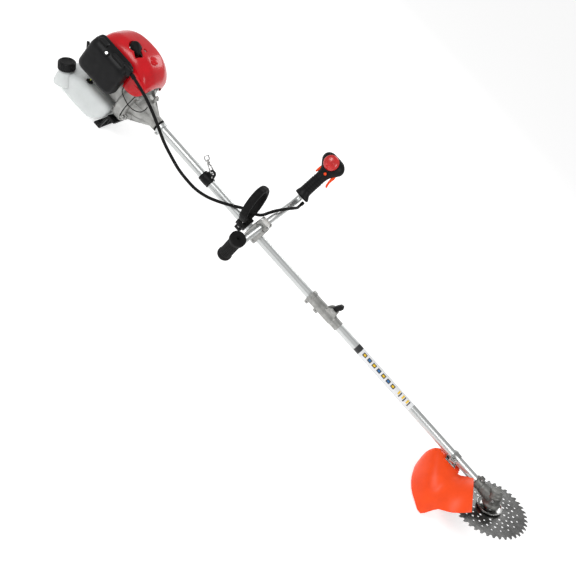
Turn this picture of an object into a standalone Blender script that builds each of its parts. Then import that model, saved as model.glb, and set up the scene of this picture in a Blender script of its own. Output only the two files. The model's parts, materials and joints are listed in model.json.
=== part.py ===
"""A split-shaft petrol brush cutter with a saw blade, standing on its tank stand and its guard.

Metres, +Z up. X runs along the drive shaft from the engine to the blade. The origin is under the tank stand's
foot, below the shaft's axis. Everything hangs from one empty on that axis, so a place below is written as
a distance along the shaft, a distance to the throttle's side (+Y) and a height above the shaft's axis.
"""

import math

import bmesh
import bpy
from mathutils import Matrix, Vector

# Driving dimensions
SHAFT_HEIGHT = 0.140
GAP = 0.0003

TUBE_R = 0.014
TUBE_BORE_R = 0.0125
SOCKET_R = TUBE_R + GAP
ROD_R = 0.004
UPPER_TUBE = (0.1025, 0.890)
LOWER_TUBE = (0.8908, 1.640)

CYLINDER_X = -0.060
CRANKCASE = (-0.115, 0.0045)
CRANKCASE_BOTTOM = -0.042
FAN_HOUSING = (0.005, 0.0422)
FAN_HOUSING_R = 0.080
CLUTCH_HOUSING = (0.0425, 0.1352)
STARTER_CORD = (-0.130, -0.030)
FILTER_Y = -0.0785
CHOKE_PIVOT = (-0.1482, 0.045)
HOOD_FLOOR = 0.045
TANK_TOP = -0.046

HANGER_X = 0.360
LOOP_X = 0.536
LOOP_LEAN = math.radians(14)
BAR_X = 0.584
BAR_R = 0.011
BAR_WALL = 0.0018
BAR_RISE = 0.038
GRIP_Y = 0.277
GRIP_Z = 0.054
GRIP_TILT = math.radians(65)
PLAIN_GRIP_LENGTH = 0.115
THROTTLE_LENGTH = 0.180

COUPLING = (0.840, 0.9735)
LEVER_PIVOT = (0.9245, 0.0285)

BLADE_R = 0.1275
BLADE_THICK = 0.0016
BLADE_TEETH = 40
BLADE_CENTRE = Vector((1.705, 0.0, -0.032))
BLADE_TILT = math.radians(27)
BLADE_AXIS = Vector((-math.sin(BLADE_TILT), 0.0, math.cos(BLADE_TILT)))
BRACKET_X = 1.513

X_AXIS = Vector((1, 0, 0))
Y_AXIS = Vector((0, 1, 0))
Z_AXIS = Vector((0, 0, 1))


# Shared tools
def clear_scene():
    for old in list(bpy.data.objects):
        bpy.data.objects.remove(old)


def make_shaft_axis():
    """The empty that holds every piece, on the shaft's axis above the stand's foot."""
    empty = bpy.data.objects.new("shaft_axis", None)
    empty.location = (0, 0, SHAFT_HEIGHT)
    bpy.context.collection.objects.link(empty)
    return empty


def finish(name, colour, roughness, metallic):
    """A Principled BSDF of one plain finish, shared by every piece that has it."""
    if name in bpy.data.materials:
        return bpy.data.materials[name]
    made = bpy.data.materials.new(name)
    made.use_nodes = True
    shader = made.node_tree.nodes["Principled BSDF"]
    shader.inputs["Base Color"].default_value = (*colour, 1)
    shader.inputs["Roughness"].default_value = roughness
    shader.inputs["Metallic"].default_value = metallic
    return made


def cast_metal():
    return finish("cast_metal", (0.55, 0.55, 0.53), 0.55, 0.9)


def bright_metal():
    return finish("bright_metal", (0.80, 0.81, 0.82), 0.3, 1.0)


def steel():
    return finish("steel", (0.45, 0.45, 0.46), 0.35, 1.0)


def dark_cast():
    return finish("dark_cast", (0.22, 0.22, 0.22), 0.5, 0.8)


def black_plastic():
    return finish("black_plastic", (0.02, 0.02, 0.02), 0.45, 0.0)


def black_rubber():
    return finish("black_rubber", (0.015, 0.015, 0.015), 0.7, 0.0)


def red_plastic():
    return finish("red_plastic", (0.60, 0.01, 0.02), 0.2, 0.0)


def orange_plastic():
    return finish("orange_plastic", (0.95, 0.12, 0.02), 0.35, 0.0)


def tank_plastic():
    return finish("tank_plastic", (0.82, 0.84, 0.84), 0.4, 0.0)


def foam():
    return finish("foam", (0.10, 0.10, 0.11), 0.9, 0.0)


def hose_plastic():
    return finish("hose_plastic", (0.55, 0.60, 0.15), 0.4, 0.0)


def place(name, mesh, look, at=(0, 0, 0), along=Z_AXIS):
    """An object on the shaft axis's empty, with its own Z axis turned to point along the given direction."""
    made = bpy.data.objects.new(name, mesh)
    made.parent = bpy.data.objects["shaft_axis"]
    made.location = at
    made.rotation_mode = "QUATERNION"
    made.rotation_quaternion = Z_AXIS.rotation_difference(Vector(along))
    mesh.materials.clear()
    mesh.materials.append(look)
    mesh.shade_smooth()
    mesh.set_sharp_from_angle(angle=math.radians(35))
    bpy.context.collection.objects.link(made)
    return made


def mesh_of(name, bm):
    """The bmesh as a mesh with its doubles merged and its faces pointing out."""
    bmesh.ops.remove_doubles(bm, verts=bm.verts, dist=1e-6)
    bmesh.ops.recalc_face_normals(bm, faces=bm.faces)
    mesh = bpy.data.meshes.new(name)
    bm.to_mesh(mesh)
    bm.free()
    return mesh


def turned(name, look, outline, at, along, sides=20):
    """A lathe piece: outline is (radius, distance along the axis) round the section."""
    bm = bmesh.new()
    points = [bm.verts.new((radius, 0, height)) for radius, height in outline]
    edges = []
    for one, two in zip(points, points[1:] + points[:1]):
        if one.co.x > 0 or two.co.x > 0:
            edges.append(bm.edges.new((one, two)))
    bmesh.ops.spin(
        bm,
        geom=points + edges,
        cent=(0, 0, 0),
        axis=(0, 0, 1),
        angle=2 * math.pi,
        steps=sides,
        use_merge=True,
    )
    return place(name, mesh_of(name, bm), look, at, along)


def rod(name, look, radius, start, end, sides=16):
    """A solid round bar between two points."""
    start = Vector(start)
    along = Vector(end) - start
    outline = [(0, 0), (radius, 0), (radius, along.length), (0, along.length)]
    return turned(name, look, outline, start, along, sides)


def ring(name, look, outer, inner, start, end, sides=20):
    """A plain tube between two points."""
    start = Vector(start)
    along = Vector(end) - start
    outline = [(inner, 0), (outer, 0), (outer, along.length), (inner, along.length)]
    return turned(name, look, outline, start, along, sides)


def block(name, look, low, high, round_edges=0.0):
    """A box between two corners, with its long edges rounded."""
    low = Vector(low)
    high = Vector(high)
    bm = bmesh.new()
    bmesh.ops.create_cube(bm, size=1, matrix=Matrix.Diagonal((*(high - low), 1)))
    if round_edges:
        bmesh.ops.bevel(
            bm,
            geom=bm.edges,
            offset=round_edges,
            segments=2,
            profile=0.5,
            affect="EDGES",
            material=-1,
        )
    return place(name, mesh_of(name, bm), look, (low + high) / 2)


def cut_out(name, look, outline, width, at=(0, 0, 0), along=Y_AXIS):
    """A flat outline in the piece's own XY plane, given an even thickness about that plane."""
    bm = bmesh.new()
    face = bm.faces.new([bm.verts.new((x, y, -width / 2)) for x, y in outline])
    moved = bmesh.ops.extrude_face_region(bm, geom=[face])
    verts = [item for item in moved["geom"] if isinstance(item, bmesh.types.BMVert)]
    bmesh.ops.translate(bm, verts=verts, vec=(0, 0, width))
    return place(name, mesh_of(name, bm), look, at, along)


def side_plate(name, look, outline, y_low, y_high, pivot=(0, 0)):
    """An outline of (along the shaft, height) points, as thick as the two Y values say."""
    middle = (y_low + y_high) / 2
    half = (y_high - y_low) / 2
    bm = bmesh.new()
    face = bm.faces.new([bm.verts.new((x - pivot[0], -half, z - pivot[1])) for x, z in outline])
    moved = bmesh.ops.extrude_face_region(bm, geom=[face])
    verts = [item for item in moved["geom"] if isinstance(item, bmesh.types.BMVert)]
    bmesh.ops.translate(bm, verts=verts, vec=(0, 2 * half, 0))
    return place(name, mesh_of(name, bm), look, (pivot[0], middle, pivot[1]))


def lofted(name, look, rings):
    """A closed body through rings that all have the same number of points."""
    bm = bmesh.new()
    loops = [[bm.verts.new(point) for point in points] for points in rings]
    for first, second in zip(loops, loops[1:]):
        for one, two, three, four in zip(
            first, first[1:] + first[:1], second[1:] + second[:1], second
        ):
            bm.faces.new((one, two, three, four))
    bm.faces.new(loops[0])
    bm.faces.new(loops[-1])
    return place(name, mesh_of(name, bm), look)


def combine(body, tool, operation):
    """Applies one Boolean to the body and removes the tool."""
    step = body.modifiers.new(operation.lower(), "BOOLEAN")
    step.operation = operation
    step.object = tool
    bpy.context.view_layer.update()
    graph = bpy.context.evaluated_depsgraph_get()
    mesh = bpy.data.meshes.new_from_object(body.evaluated_get(graph))
    look = body.data.materials[0]
    body.modifiers.clear()
    body.data = mesh
    mesh.materials.clear()
    mesh.materials.append(look)
    mesh.set_sharp_from_angle(angle=math.radians(35))
    bpy.data.objects.remove(tool)
    return body


def less(body, *tools):
    for tool in tools:
        combine(body, tool, "DIFFERENCE")
    return body


def plus(body, *tools):
    for tool in tools:
        combine(body, tool, "UNION")
    return body


def smooth_route(points, spacing):
    """Points at an even spacing on one smooth curve through the route's own points."""
    route = [Vector(point) for point in points]
    ends = [2 * route[0] - route[1]] + route + [2 * route[-1] - route[-2]]
    fine = []
    for before, start, stop, after in zip(ends, ends[1:], ends[2:], ends[3:]):
        steps = max(2, round((stop - start).length / spacing))
        for step in range(steps):
            t = step / steps
            fine.append(
                0.5
                * (
                    2 * start
                    + (stop - before) * t
                    + (2 * before - 5 * start + 4 * stop - after) * t**2
                    + (3 * start - before - 3 * stop + after) * t**3
                )
            )
    return fine + [route[-1]]


def cable(name, look, points, radius, spacing, resolution):
    """A curve object with a round bevel and closed ends."""
    route = smooth_route(points, spacing)
    curve = bpy.data.curves.new(name, "CURVE")
    curve.dimensions = "3D"
    curve.bevel_depth = radius
    curve.bevel_resolution = resolution
    curve.use_fill_caps = True
    curve.materials.append(look)
    spline = curve.splines.new("POLY")
    spline.points.add(len(route) - 1)
    for point, place_at in zip(spline.points, route):
        point.co = (*place_at, 1)
    made = bpy.data.objects.new(name, curve)
    made.parent = bpy.data.objects["shaft_axis"]
    bpy.context.collection.objects.link(made)
    return made


# Engine: crank train
def make_crankcase():
    rear, front = CRANKCASE
    body = block("crankcase", cast_metal(), (rear, -0.040, CRANKCASE_BOTTOM), (front, 0.040, 0.032), 0.010)
    chamber = rod("chamber", steel(), 0.027, (-0.084, 0, 0), (-0.036, 0, 0), 24)
    throat = rod("throat", steel(), 0.0215, (CYLINDER_X, 0, 0), (CYLINDER_X, 0, 0.04), 20)
    bore = rod("bore", steel(), 0.0085, (-0.13, 0, 0), (0.04, 0, 0), 16)
    rear_pocket = block("rear_pocket", steel(), (-0.130, -0.026, -0.034), (-0.092, 0.026, 0.024))
    front_pocket = block("front_pocket", steel(), (-0.028, -0.026, -0.034), (0.020, 0.026, 0.024))
    return less(body, chamber, throat, bore, rear_pocket, front_pocket)


def make_cylinder():
    """Finned barrel with its bore open below and the plug's hole through the head."""
    fins = 4
    pitch = 0.0135
    outline = [(0.0200, 0.0), (0.0300, 0.0)]
    for number in range(fins):
        low = 0.010 + number * pitch
        outline += [(0.0260, low), (0.0385, low), (0.0385, low + 0.005), (0.0260, low + 0.005)]
    top = 0.010 + fins * pitch + 0.006
    outline += [(0.0200, top), (0.0060, top), (0.0060, top - 0.012), (0.0200, top - 0.016)]
    return turned("cylinder", cast_metal(), outline, (CYLINDER_X, 0, 0.0323), Z_AXIS, 16)


def make_piston():
    """Piston at the top of its stroke with its rod, whose big end stops above the crank's sweep."""
    body = rod("piston", bright_metal(), 0.0196, (CYLINDER_X, 0, 0.060), (CYLINDER_X, 0, 0.084), 20)
    hollow = rod("hollow", steel(), 0.0150, (CYLINDER_X, 0, 0.054), (CYLINDER_X, 0, 0.078), 20)
    less(body, hollow)
    stem = block("stem", steel(), (-0.063, -0.005, 0.0285), (-0.057, 0.005, 0.080))
    return plus(body, stem)


def make_crankshaft():
    """Main shaft with two round webs, and the crank pin between them."""
    outline = [
        (0, -0.138), (0.006, -0.138), (0.006, -0.118), (0.0080, -0.118), (0.0080, -0.083), (0.0255, -0.083),
        (0.0255, -0.071), (0.0, -0.071),
    ]
    rear = turned("crankshaft", steel(), outline, (0, 0, 0), X_AXIS, 20)
    outline = [
        (0, -0.049), (0.0255, -0.049), (0.0255, -0.037), (0.0080, -0.037), (0.0080, 0.010), (0.006, 0.010),
        (0.006, 0.0605), (0, 0.0605),
    ]
    front = turned("front", steel(), outline, (0, 0, 0), X_AXIS, 20)
    pin = rod("pin", steel(), 0.006, (-0.075, 0, -0.016), (-0.045, 0, -0.016), 12)
    return plus(rear, pin, front)


def make_flywheel_fan():
    """Flywheel with ten cooling vanes on its face."""
    outline = [
        (0.0063, 0.0168), (0.068, 0.0168), (0.068, 0.0260), (0.018, 0.0260), (0.018, 0.0400), (0.0063, 0.0400),
    ]
    body = turned("flywheel_fan", cast_metal(), outline, (0, 0, 0), X_AXIS, 24)
    vanes = 10
    for number in range(vanes):
        turn = 2 * math.pi * number / vanes
        radial = Vector((0, math.cos(turn), math.sin(turn)))
        vane = block("vane", steel(), (-0.0075, -0.0015, -0.021), (0.0075, 0.0015, 0.021))
        vane.location = Vector((0.0320, 0, 0)) + 0.044 * radial
        vane.rotation_quaternion = Matrix.Rotation(turn - math.pi / 2, 3, "X").to_quaternion()
        plus(body, vane)
    return body


def make_clutch_shoes():
    """Two centrifugal shoes on their carrier, drawn in so that they clear the drum."""
    outline = [(0.0063, 0.0470), (0.0290, 0.0470), (0.0290, 0.0590), (0.0063, 0.0590)]
    body = turned("clutch_shoes", steel(), outline, (0, 0, 0), X_AXIS, 24)
    for side in (-1, 1):
        middle = side * 0.012
        slot = block("slot", steel(), (0.040, middle - 0.0015, 0.0), (0.065, middle + 0.0015, side * 0.04))
        less(body, slot)
    return body


def make_clutch_drum():
    """Steel cup that the shoes grip, with the stub that drives the shaft."""
    outline = [
        (0.0325, 0.0480), (0.0350, 0.0480), (0.0350, 0.0665), (0.0090, 0.0665), (0.0090, 0.0990), (0.0, 0.0990),
        (0.0, 0.0620), (0.0325, 0.0620),
    ]
    return turned("clutch_drum", steel(), outline, (0, 0, 0), X_AXIS, 24)


def make_fan_housing():
    """Round casing round the fan, open to the front, with a boss for each bolt of the clutch housing."""
    rear, front = FAN_HOUSING
    outline = [
        (0.0120, rear), (0.060, rear), (FAN_HOUSING_R, rear + 0.012), (FAN_HOUSING_R, front),
        (0.0760, front), (0.0760, rear + 0.014), (0.058, rear + 0.004), (0.0120, rear + 0.004),
    ]
    return turned("fan_housing", cast_metal(), outline, (0, 0, 0), X_AXIS, 24)


def make_clutch_housing():
    """Cone from the fan housing to the tube, hollow round the drum."""
    rear, front = CLUTCH_HOUSING
    outline = [
        (0.0385, rear), (0.0740, rear), (0.0740, 0.0490), (0.0520, 0.0505), (0.0470, 0.0720), (0.0290, 0.1050),
        (0.0215, 0.1150), (0.0215, front), (SOCKET_R, front), (SOCKET_R, 0.1022), (0.0095, 0.1022),
        (0.0095, 0.0960), (0.0180, 0.0940), (0.0385, 0.0680),
    ]
    return turned("clutch_housing", cast_metal(), outline, (0, 0, 0), X_AXIS, 24)


# Engine: starter
def make_starter_housing():
    """Rear cup over the recoil pulley, with a slot for the cord on the far side."""
    outline = [
        (0.0, -0.150), (0.036, -0.150), (0.045, -0.143), (0.045, -0.1155), (0.042, -0.1155), (0.042, -0.142),
        (0.034, -0.1470), (0.0, -0.1470),
    ]
    body = turned("starter_housing", black_plastic(), outline, (0, 0, 0), X_AXIS, 24)
    x, z = STARTER_CORD
    guide = rod("guide", black_plastic(), 0.0070, (x, 0.0290, z), (x, 0.0520, z), 12)
    hole = rod("hole", steel(), 0.0030, (x, 0.0, z), (x, 0.0600, z), 12)
    plus(body, guide)
    return less(body, hole)


def make_starter_pulley():
    outline = [
        (0.0065, -0.1405), (0.0270, -0.1405), (0.0270, -0.1380), (0.0240, -0.1380), (0.0240, -0.1270),
        (0.0270, -0.1270), (0.0270, -0.1245), (0.0065, -0.1245),
    ]
    return turned("starter_pulley", black_plastic(), outline, (0, 0, 0), X_AXIS, 24)


def make_starter_handle():
    """Pull handle with the straight end of its cord, which lies inside the housing at rest."""
    x, z = STARTER_CORD
    body = rod("starter_handle", black_plastic(), 0.0022, (x, -0.024, z), (x, 0.0600, z), 10)
    collar = rod("collar", black_plastic(), 0.0065, (x, 0.0525, z), (x, 0.0620, z), 12)
    bar = block("bar", black_plastic(), (x - 0.008, 0.0600, z - 0.020), (x + 0.008, 0.0740, z + 0.020), 0.005)
    return plus(body, collar, bar)


# Engine: covers
def hood_ring(x, top, side, crown, floor, inset):
    """One section of the hood across the shaft: straight sides, sloping shoulders and a nearly flat crown."""
    side = side - inset
    crown = crown - inset
    top = top - inset
    shoulder = floor + 0.45 * (top - floor)
    slope = (0.86 * side + 0.14 * crown, 0.35 * shoulder + 0.65 * top)
    half = [(side, floor), (side, shoulder), slope, (crown, top)]
    right = [(x, y + 0.004, z) for y, z in half]
    left = [(x, -y + 0.004, z) for y, z in reversed(half)]
    return right + left


def hood_body(name, inset, floor):
    stations = [
        (-0.155, 0.100, 0.060, 0.030), (-0.140, 0.122, 0.072, 0.036), (-0.105, 0.146, 0.079, 0.042),
        (-0.045, 0.150, 0.081, 0.044), (-0.004, 0.148, 0.080, 0.040), (0.035, 0.128, 0.076, 0.034),
        (0.058, 0.104, 0.066, 0.028), (0.067, 0.088, 0.054, 0.022),
    ]
    rings = []
    for number, (x, top, side, crown) in enumerate(stations):
        if number == 0:
            x += inset
        if number == len(stations) - 1:
            x -= inset
        rings.append(hood_ring(x, top, side, crown, floor, inset))
    return lofted(name, red_plastic(), rings)


def make_engine_cover():
    """Red hood: a shell open below, cut away for the filter, the muffler, the fan housing and the plug."""
    body = hood_body("engine_cover", 0.0, HOOD_FLOOR)
    less(body, hood_body("inside", 0.0025, HOOD_FLOOR - 0.02))
    fan = rod("fan", steel(), FAN_HOUSING_R + 0.001, (-0.002, 0, 0), (0.080, 0, 0), 32)
    filter_side = block("filter_side", steel(), (-0.180, -0.100, 0.030), (-0.004, -0.050, 0.1005))
    muffler_side = block("muffler_side", steel(), (-0.115, 0.050, 0.030), (-0.005, 0.110, 0.0800))
    cap_hole = rod("cap_hole", steel(), 0.021, cap_point(-0.02), cap_point(0.07), 20)
    nose = cap_point(0.040)
    nose_way = rod("nose_way", steel(), 0.012, nose, nose + Vector((0.040, 0.002, 0)), 16)
    rear = block("rear", steel(), (-0.180, -0.100, 0.030), (-0.140, 0.100, 0.070))
    return less(body, fan, filter_side, muffler_side, cap_hole, nose_way, rear)


def cap_direction():
    return Vector((0, -0.6, 0.8))


def cap_point(distance):
    """A point on the spark plug's axis, measured from the plug's seat in the head."""
    return Vector((CYLINDER_X, -0.004, 0.1072)) + cap_direction() * distance


def make_spark_plug():
    outline = [
        (0, 0.0015), (0.0085, 0.0015), (0.0085, 0.0085), (0.0050, 0.0100), (0.0050, 0.0240), (0.0, 0.0240),
    ]
    return turned("spark_plug", bright_metal(), outline, cap_point(0), cap_direction(), 16)


def make_spark_plug_cap():
    """Rubber cap over the plug, with its lead's nose pointing forward."""
    outline = [
        (0.0053, 0.0105), (0.0120, 0.0105), (0.0165, 0.0300), (0.0170, 0.0430), (0.0090, 0.0500), (0.0, 0.0510),
        (0.0, 0.0245), (0.0053, 0.0245),
    ]
    body = turned("spark_plug_cap", black_rubber(), outline, cap_point(0), cap_direction(), 20)
    start = cap_point(0.0400)
    nose = turned(
        "nose",
        black_rubber(),
        [(0, 0), (0.0095, 0), (0.0085, 0.018), (0.0040, 0.032), (0, 0.032)],
        start,
        Vector((1, 0.05, -0.02)),
        16,
    )
    return plus(body, nose)


def make_muffler():
    body = block("muffler", dark_cast(), (-0.105, 0.0455, 0.002), (-0.015, 0.092, 0.076), 0.008)
    flange = block("flange", dark_cast(), (-0.078, 0.0390, 0.050), (-0.042, 0.050, 0.072))
    outlet = ring("outlet", dark_cast(), 0.0070, 0.0050, (-0.030, 0.075, 0.012), (-0.004, 0.082, 0.002), 12)
    plus(body, flange, outlet)
    inside = block("inside", steel(), (-0.101, 0.0495, 0.006), (-0.019, 0.0880, 0.072))
    bore = rod("bore", steel(), 0.0050, (-0.0365, 0.07325, 0.0145), (0.010, 0.0858, -0.0034), 12)
    return less(body, inside, bore)


def make_muffler_guard():
    """Slotted heat shield outside the muffler."""
    body = block("muffler_guard", black_plastic(), (-0.112, 0.0930, -0.006), (-0.006, 0.0955, 0.084))
    for number in range(4):
        low = 0.008 + number * 0.018
        less(body, block("slot", steel(), (-0.100, 0.085, low), (-0.018, 0.105, low + 0.008)))
    return body


# Engine: fuel and air
def make_carburetor():
    body = block("carburetor", cast_metal(), (-0.078, -0.0780, 0.040), (-0.042, -0.0392, 0.078), 0.003)
    bore = rod("bore", steel(), 0.0070, (CYLINDER_X, -0.1, 0.059), (CYLINDER_X, 0, 0.059), 14)
    return less(body, bore)


def make_filter_base():
    low = (-0.138, FILTER_Y - 0.0075, 0.014)
    body = block("filter_base", black_plastic(), low, (-0.008, FILTER_Y, 0.120), 0.002)
    bore = rod("bore", steel(), 0.0100, (CYLINDER_X, -0.1, 0.059), (CYLINDER_X, 0, 0.059), 14)
    return less(body, bore)


def make_filter_element():
    return block("filter_element", foam(), (-0.112, -0.1080, 0.022), (-0.030, -0.0865, 0.079), 0.004)


def filter_ring(y, grow, top):
    """One section of the filter cover parallel to the shaft, as a rounded outline."""
    left = -0.143 - grow
    right = -0.004 + grow
    low = 0.009 - grow
    high = top + grow
    corner = 0.018
    points = []
    for centre_x, centre_z, start in (
        (right - corner, high - corner, 0),
        (left + corner, high - corner, 90),
        (left + corner, low + corner, 180),
        (right - corner, low + corner, 270),
    ):
        for step in (0, 45, 90):
            angle = math.radians(start + step)
            points.append((centre_x + corner * math.cos(angle), y, centre_z + corner * math.sin(angle)))
    return points


def make_filter_cover():
    """Deep tub over the filter, open towards the engine."""
    body = lofted(
        "filter_cover",
        black_plastic(),
        [
            filter_ring(-0.0865, 0.0, 0.128),
            filter_ring(-0.1080, -0.001, 0.120),
            filter_ring(-0.1220, -0.005, 0.112),
            filter_ring(-0.1280, -0.016, 0.112),
        ],
    )
    inside = lofted(
        "inside",
        steel(),
        [
            filter_ring(-0.0800, -0.0025, 0.1295),
            filter_ring(-0.1080, -0.0038, 0.119),
            filter_ring(-0.1250, -0.0140, 0.1095),
        ],
    )
    hole = rod("hole", steel(), 0.0032, (-0.086, -0.140, 0.086), (-0.086, -0.100, 0.086), 12)
    return less(body, inside, hole)


def make_filter_screw():
    outline = [(0, 0), (0.0028, 0), (0.0028, 0.0345), (0.0058, 0.0345), (0.0058, 0.0395), (0, 0.0395)]
    return turned("filter_screw", bright_metal(), outline, (-0.086, -0.0935, 0.086), -Y_AXIS, 14)


def make_choke_lever():
    """Small lever at the rear edge of the filter, turning about the carburettor's cross axis."""
    outline = [
        (-0.006, -0.006), (0.004, -0.006), (0.004, 0.006), (-0.006, 0.008), (-0.014, 0.022), (-0.021, 0.018),
    ]
    return side_plate(
        "choke_lever",
        black_plastic(),
        [(x + CHOKE_PIVOT[0], z + CHOKE_PIVOT[1]) for x, z in outline],
        -0.0840,
        -0.0790,
        CHOKE_PIVOT,
    )


def tank_ring(x, width, top, low):
    """One section of the tank across the shaft, rounded at its corners."""
    corner = 0.018
    points = []
    for centre_y, centre_z, start in (
        (width - corner, top - corner, 0),
        (-width + corner, top - corner, 90),
        (-width + corner, low + corner, 180),
        (width - corner, low + corner, 270),
    ):
        for step in (0, 45, 90):
            angle = math.radians(start + step)
            points.append((x, centre_y + corner * math.cos(angle), centre_z + corner * math.sin(angle)))
    return points


def neck_direction():
    return Vector((-0.42, -0.20, 0.885)).normalized()


def neck_point(distance):
    """A point on the filler neck's axis, measured from the rim that the cap closes."""
    return Vector((-0.186, -0.058, -0.068)) + neck_direction() * distance


def make_fuel_tank():
    """Blow-moulded tank, solid as if full, with its filler neck at the rear near corner."""
    ground = -SHAFT_HEIGHT
    body = lofted(
        "fuel_tank",
        tank_plastic(),
        [
            tank_ring(-0.196, 0.046, -0.082, ground + 0.020),
            tank_ring(-0.184, 0.062, -0.078, ground + 0.006),
            tank_ring(-0.150, 0.072, -0.068, ground),
            tank_ring(-0.112, 0.075, TANK_TOP, ground),
            tank_ring(-0.045, 0.075, TANK_TOP, ground),
            tank_ring(-0.020, 0.072, TANK_TOP, ground + 0.010),
            tank_ring(-0.004, 0.064, -0.050, ground + 0.026),
            tank_ring(0.004, 0.050, -0.062, ground + 0.040),
        ],
    )
    outline = [(0, -0.050), (0.030, -0.050), (0.024, -0.020), (0.0186, -0.010), (0.0186, 0.0), (0, 0.0)]
    neck = turned("neck", tank_plastic(), outline, neck_point(0), neck_direction(), 24)
    return plus(body, neck)


def make_fuel_cap():
    """Ribbed screw cap over the neck."""
    outline = [
        (0.0, GAP), (0.0190, GAP), (0.0190, -0.0080), (0.0255, -0.0080), (0.0262, 0.0100), (0.0225, 0.0150),
        (0.0, 0.0150),
    ]
    return turned("fuel_cap", black_plastic(), outline, neck_point(0), neck_direction(), 24)


def make_tank_grommet():
    outline = [(0.0024, 0), (0.0100, 0), (0.0085, 0.0060), (0.0024, 0.0060)]
    return turned("tank_grommet", black_rubber(), outline, (-0.100, -0.056, TANK_TOP + GAP), Z_AXIS, 16)


def make_fuel_line():
    """Short hose from the tank's grommet up to the carburettor."""
    route = [
        (-0.100, -0.056, TANK_TOP + 0.0010),
        (-0.100, -0.056, -0.030),
        (-0.097, -0.054, -0.010),
        (-0.084, -0.052, 0.012),
        (-0.070, -0.056, 0.030),
        (-0.068, -0.056, 0.0393),
    ]
    return cable("fuel_line", hose_plastic(), route, 0.0020, 0.008, 2)


def make_tank_stand():
    """Bracket in front of the tank, from the fan housing down to its foot on the ground."""
    ground = -SHAFT_HEIGHT
    top = -FAN_HOUSING_R - GAP
    outline = [
        (0.0080, top), (0.0400, top), (0.0400, top - 0.008), (0.0220, top - 0.020), (0.0120, ground + 0.0115),
        (0.0140, ground + 0.004), (0.0120, ground), (-0.0140, ground), (-0.0140, ground + 0.0075),
        (0.0000, ground + 0.010), (0.0065, ground + 0.020), (0.0065, top - 0.010),
    ]
    body = side_plate("tank_stand", black_plastic(), outline, -0.052, 0.052)
    window = block("window", steel(), (-0.1, -0.040, ground + 0.012), (0.1, 0.040, top - 0.010))
    return less(body, window)


# Shaft
def make_vibration_ring():
    return ring("vibration_ring", black_rubber(), 0.0205, SOCKET_R, (0.1356, 0, 0), (0.1406, 0, 0))


def make_tube_collar():
    """Split collar that clamps the tube to the clutch housing, with its screw's ears below."""
    body = ring("tube_collar", bright_metal(), 0.0190, SOCKET_R, (0.1410, 0, 0), (0.1540, 0, 0))
    ears = block("ears", bright_metal(), (0.1420, -0.0050, -0.0270), (0.1530, 0.0050, -0.0160))
    bore = rod("bore", steel(), SOCKET_R, (0.13, 0, 0), (0.16, 0, 0), 24)
    slot = block("slot", steel(), (0.13, -0.0007, -0.03), (0.16, 0.0007, -0.010))
    plus(body, ears)
    return less(body, bore, slot)


def make_upper_tube():
    return ring("upper_tube", bright_metal(), TUBE_R, TUBE_BORE_R, (UPPER_TUBE[0], 0, 0), (UPPER_TUBE[1], 0, 0))


def make_upper_drive_shaft():
    """Long rod in the upper tube, with the splined sleeve that takes the lower rod."""
    outline = [
        (0.0, 0.0993), (ROD_R, 0.0993), (ROD_R, 0.855), (0.0080, 0.858), (0.0080, 0.915), (ROD_R + GAP, 0.915),
        (ROD_R + GAP, 0.885), (0.0, 0.885),
    ]
    return turned("upper_drive_shaft", steel(), outline, (0, 0, 0), X_AXIS, 12)


def make_bush(name, x):
    return ring(name, black_rubber(), TUBE_BORE_R - GAP, ROD_R + GAP, (x, 0, 0), (x + 0.018, 0, 0), 16)


def make_hanger_clamp():
    """Band round the tube with the harness eye on top."""
    half = 0.020
    body = ring(
        "hanger_clamp", black_plastic(), 0.0178, SOCKET_R, (HANGER_X - half, 0, 0), (HANGER_X + half, 0, 0)
    )
    ear = side_plate(
        "ear",
        black_plastic(),
        [
            (HANGER_X - 0.014, 0.012), (HANGER_X + 0.017, 0.012), (HANGER_X + 0.013, 0.034),
            (HANGER_X + 0.006, 0.040), (HANGER_X - 0.004, 0.040), (HANGER_X - 0.010, 0.034),
        ],
        -0.0035,
        0.0035,
    )
    plus(body, ear)
    eye = rod("eye", steel(), 0.0055, (HANGER_X + 0.001, -0.02, 0.030), (HANGER_X + 0.001, 0.02, 0.030), 16)
    bore = rod("bore", steel(), SOCKET_R, (0.30, 0, 0), (0.45, 0, 0), 24)
    return less(body, eye, bore)


def hook_direction():
    """The hook leans back towards the engine, its strap ring up."""
    return Vector((-0.90, 0.0, 0.43)).normalized()


def hook_point(distance, side=0.0):
    """A point in the hook's own plane, measured from the middle of the eye."""
    return Vector((HANGER_X + 0.001, 0, 0.030)) + hook_direction() * distance + Y_AXIS * side


def make_snap_hook():
    """Forged hook through the eye, its swivel neck and the flat ring for the harness strap."""
    route = [
        hook_point(0.0200, -0.0088),
        hook_point(0.0100, -0.0092),
        hook_point(0.0025, -0.0068),
        hook_point(-0.0005, 0.0),
        hook_point(0.0025, 0.0068),
        hook_point(0.0100, 0.0092),
        hook_point(0.0230, 0.0068),
        hook_point(0.0300, 0.0),
        hook_point(0.0400, 0.0),
    ]
    wire = cable("wire", bright_metal(), route, 0.0022, 0.005, 2)
    body = curve_to_piece(wire, "snap_hook", bright_metal())
    neck = rod("neck", bright_metal(), 0.0045, hook_point(0.032), hook_point(0.044), 12)
    plate = strap_ring()
    plus(body, neck, plate)
    return set_origin(body, hook_point(0))


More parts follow.
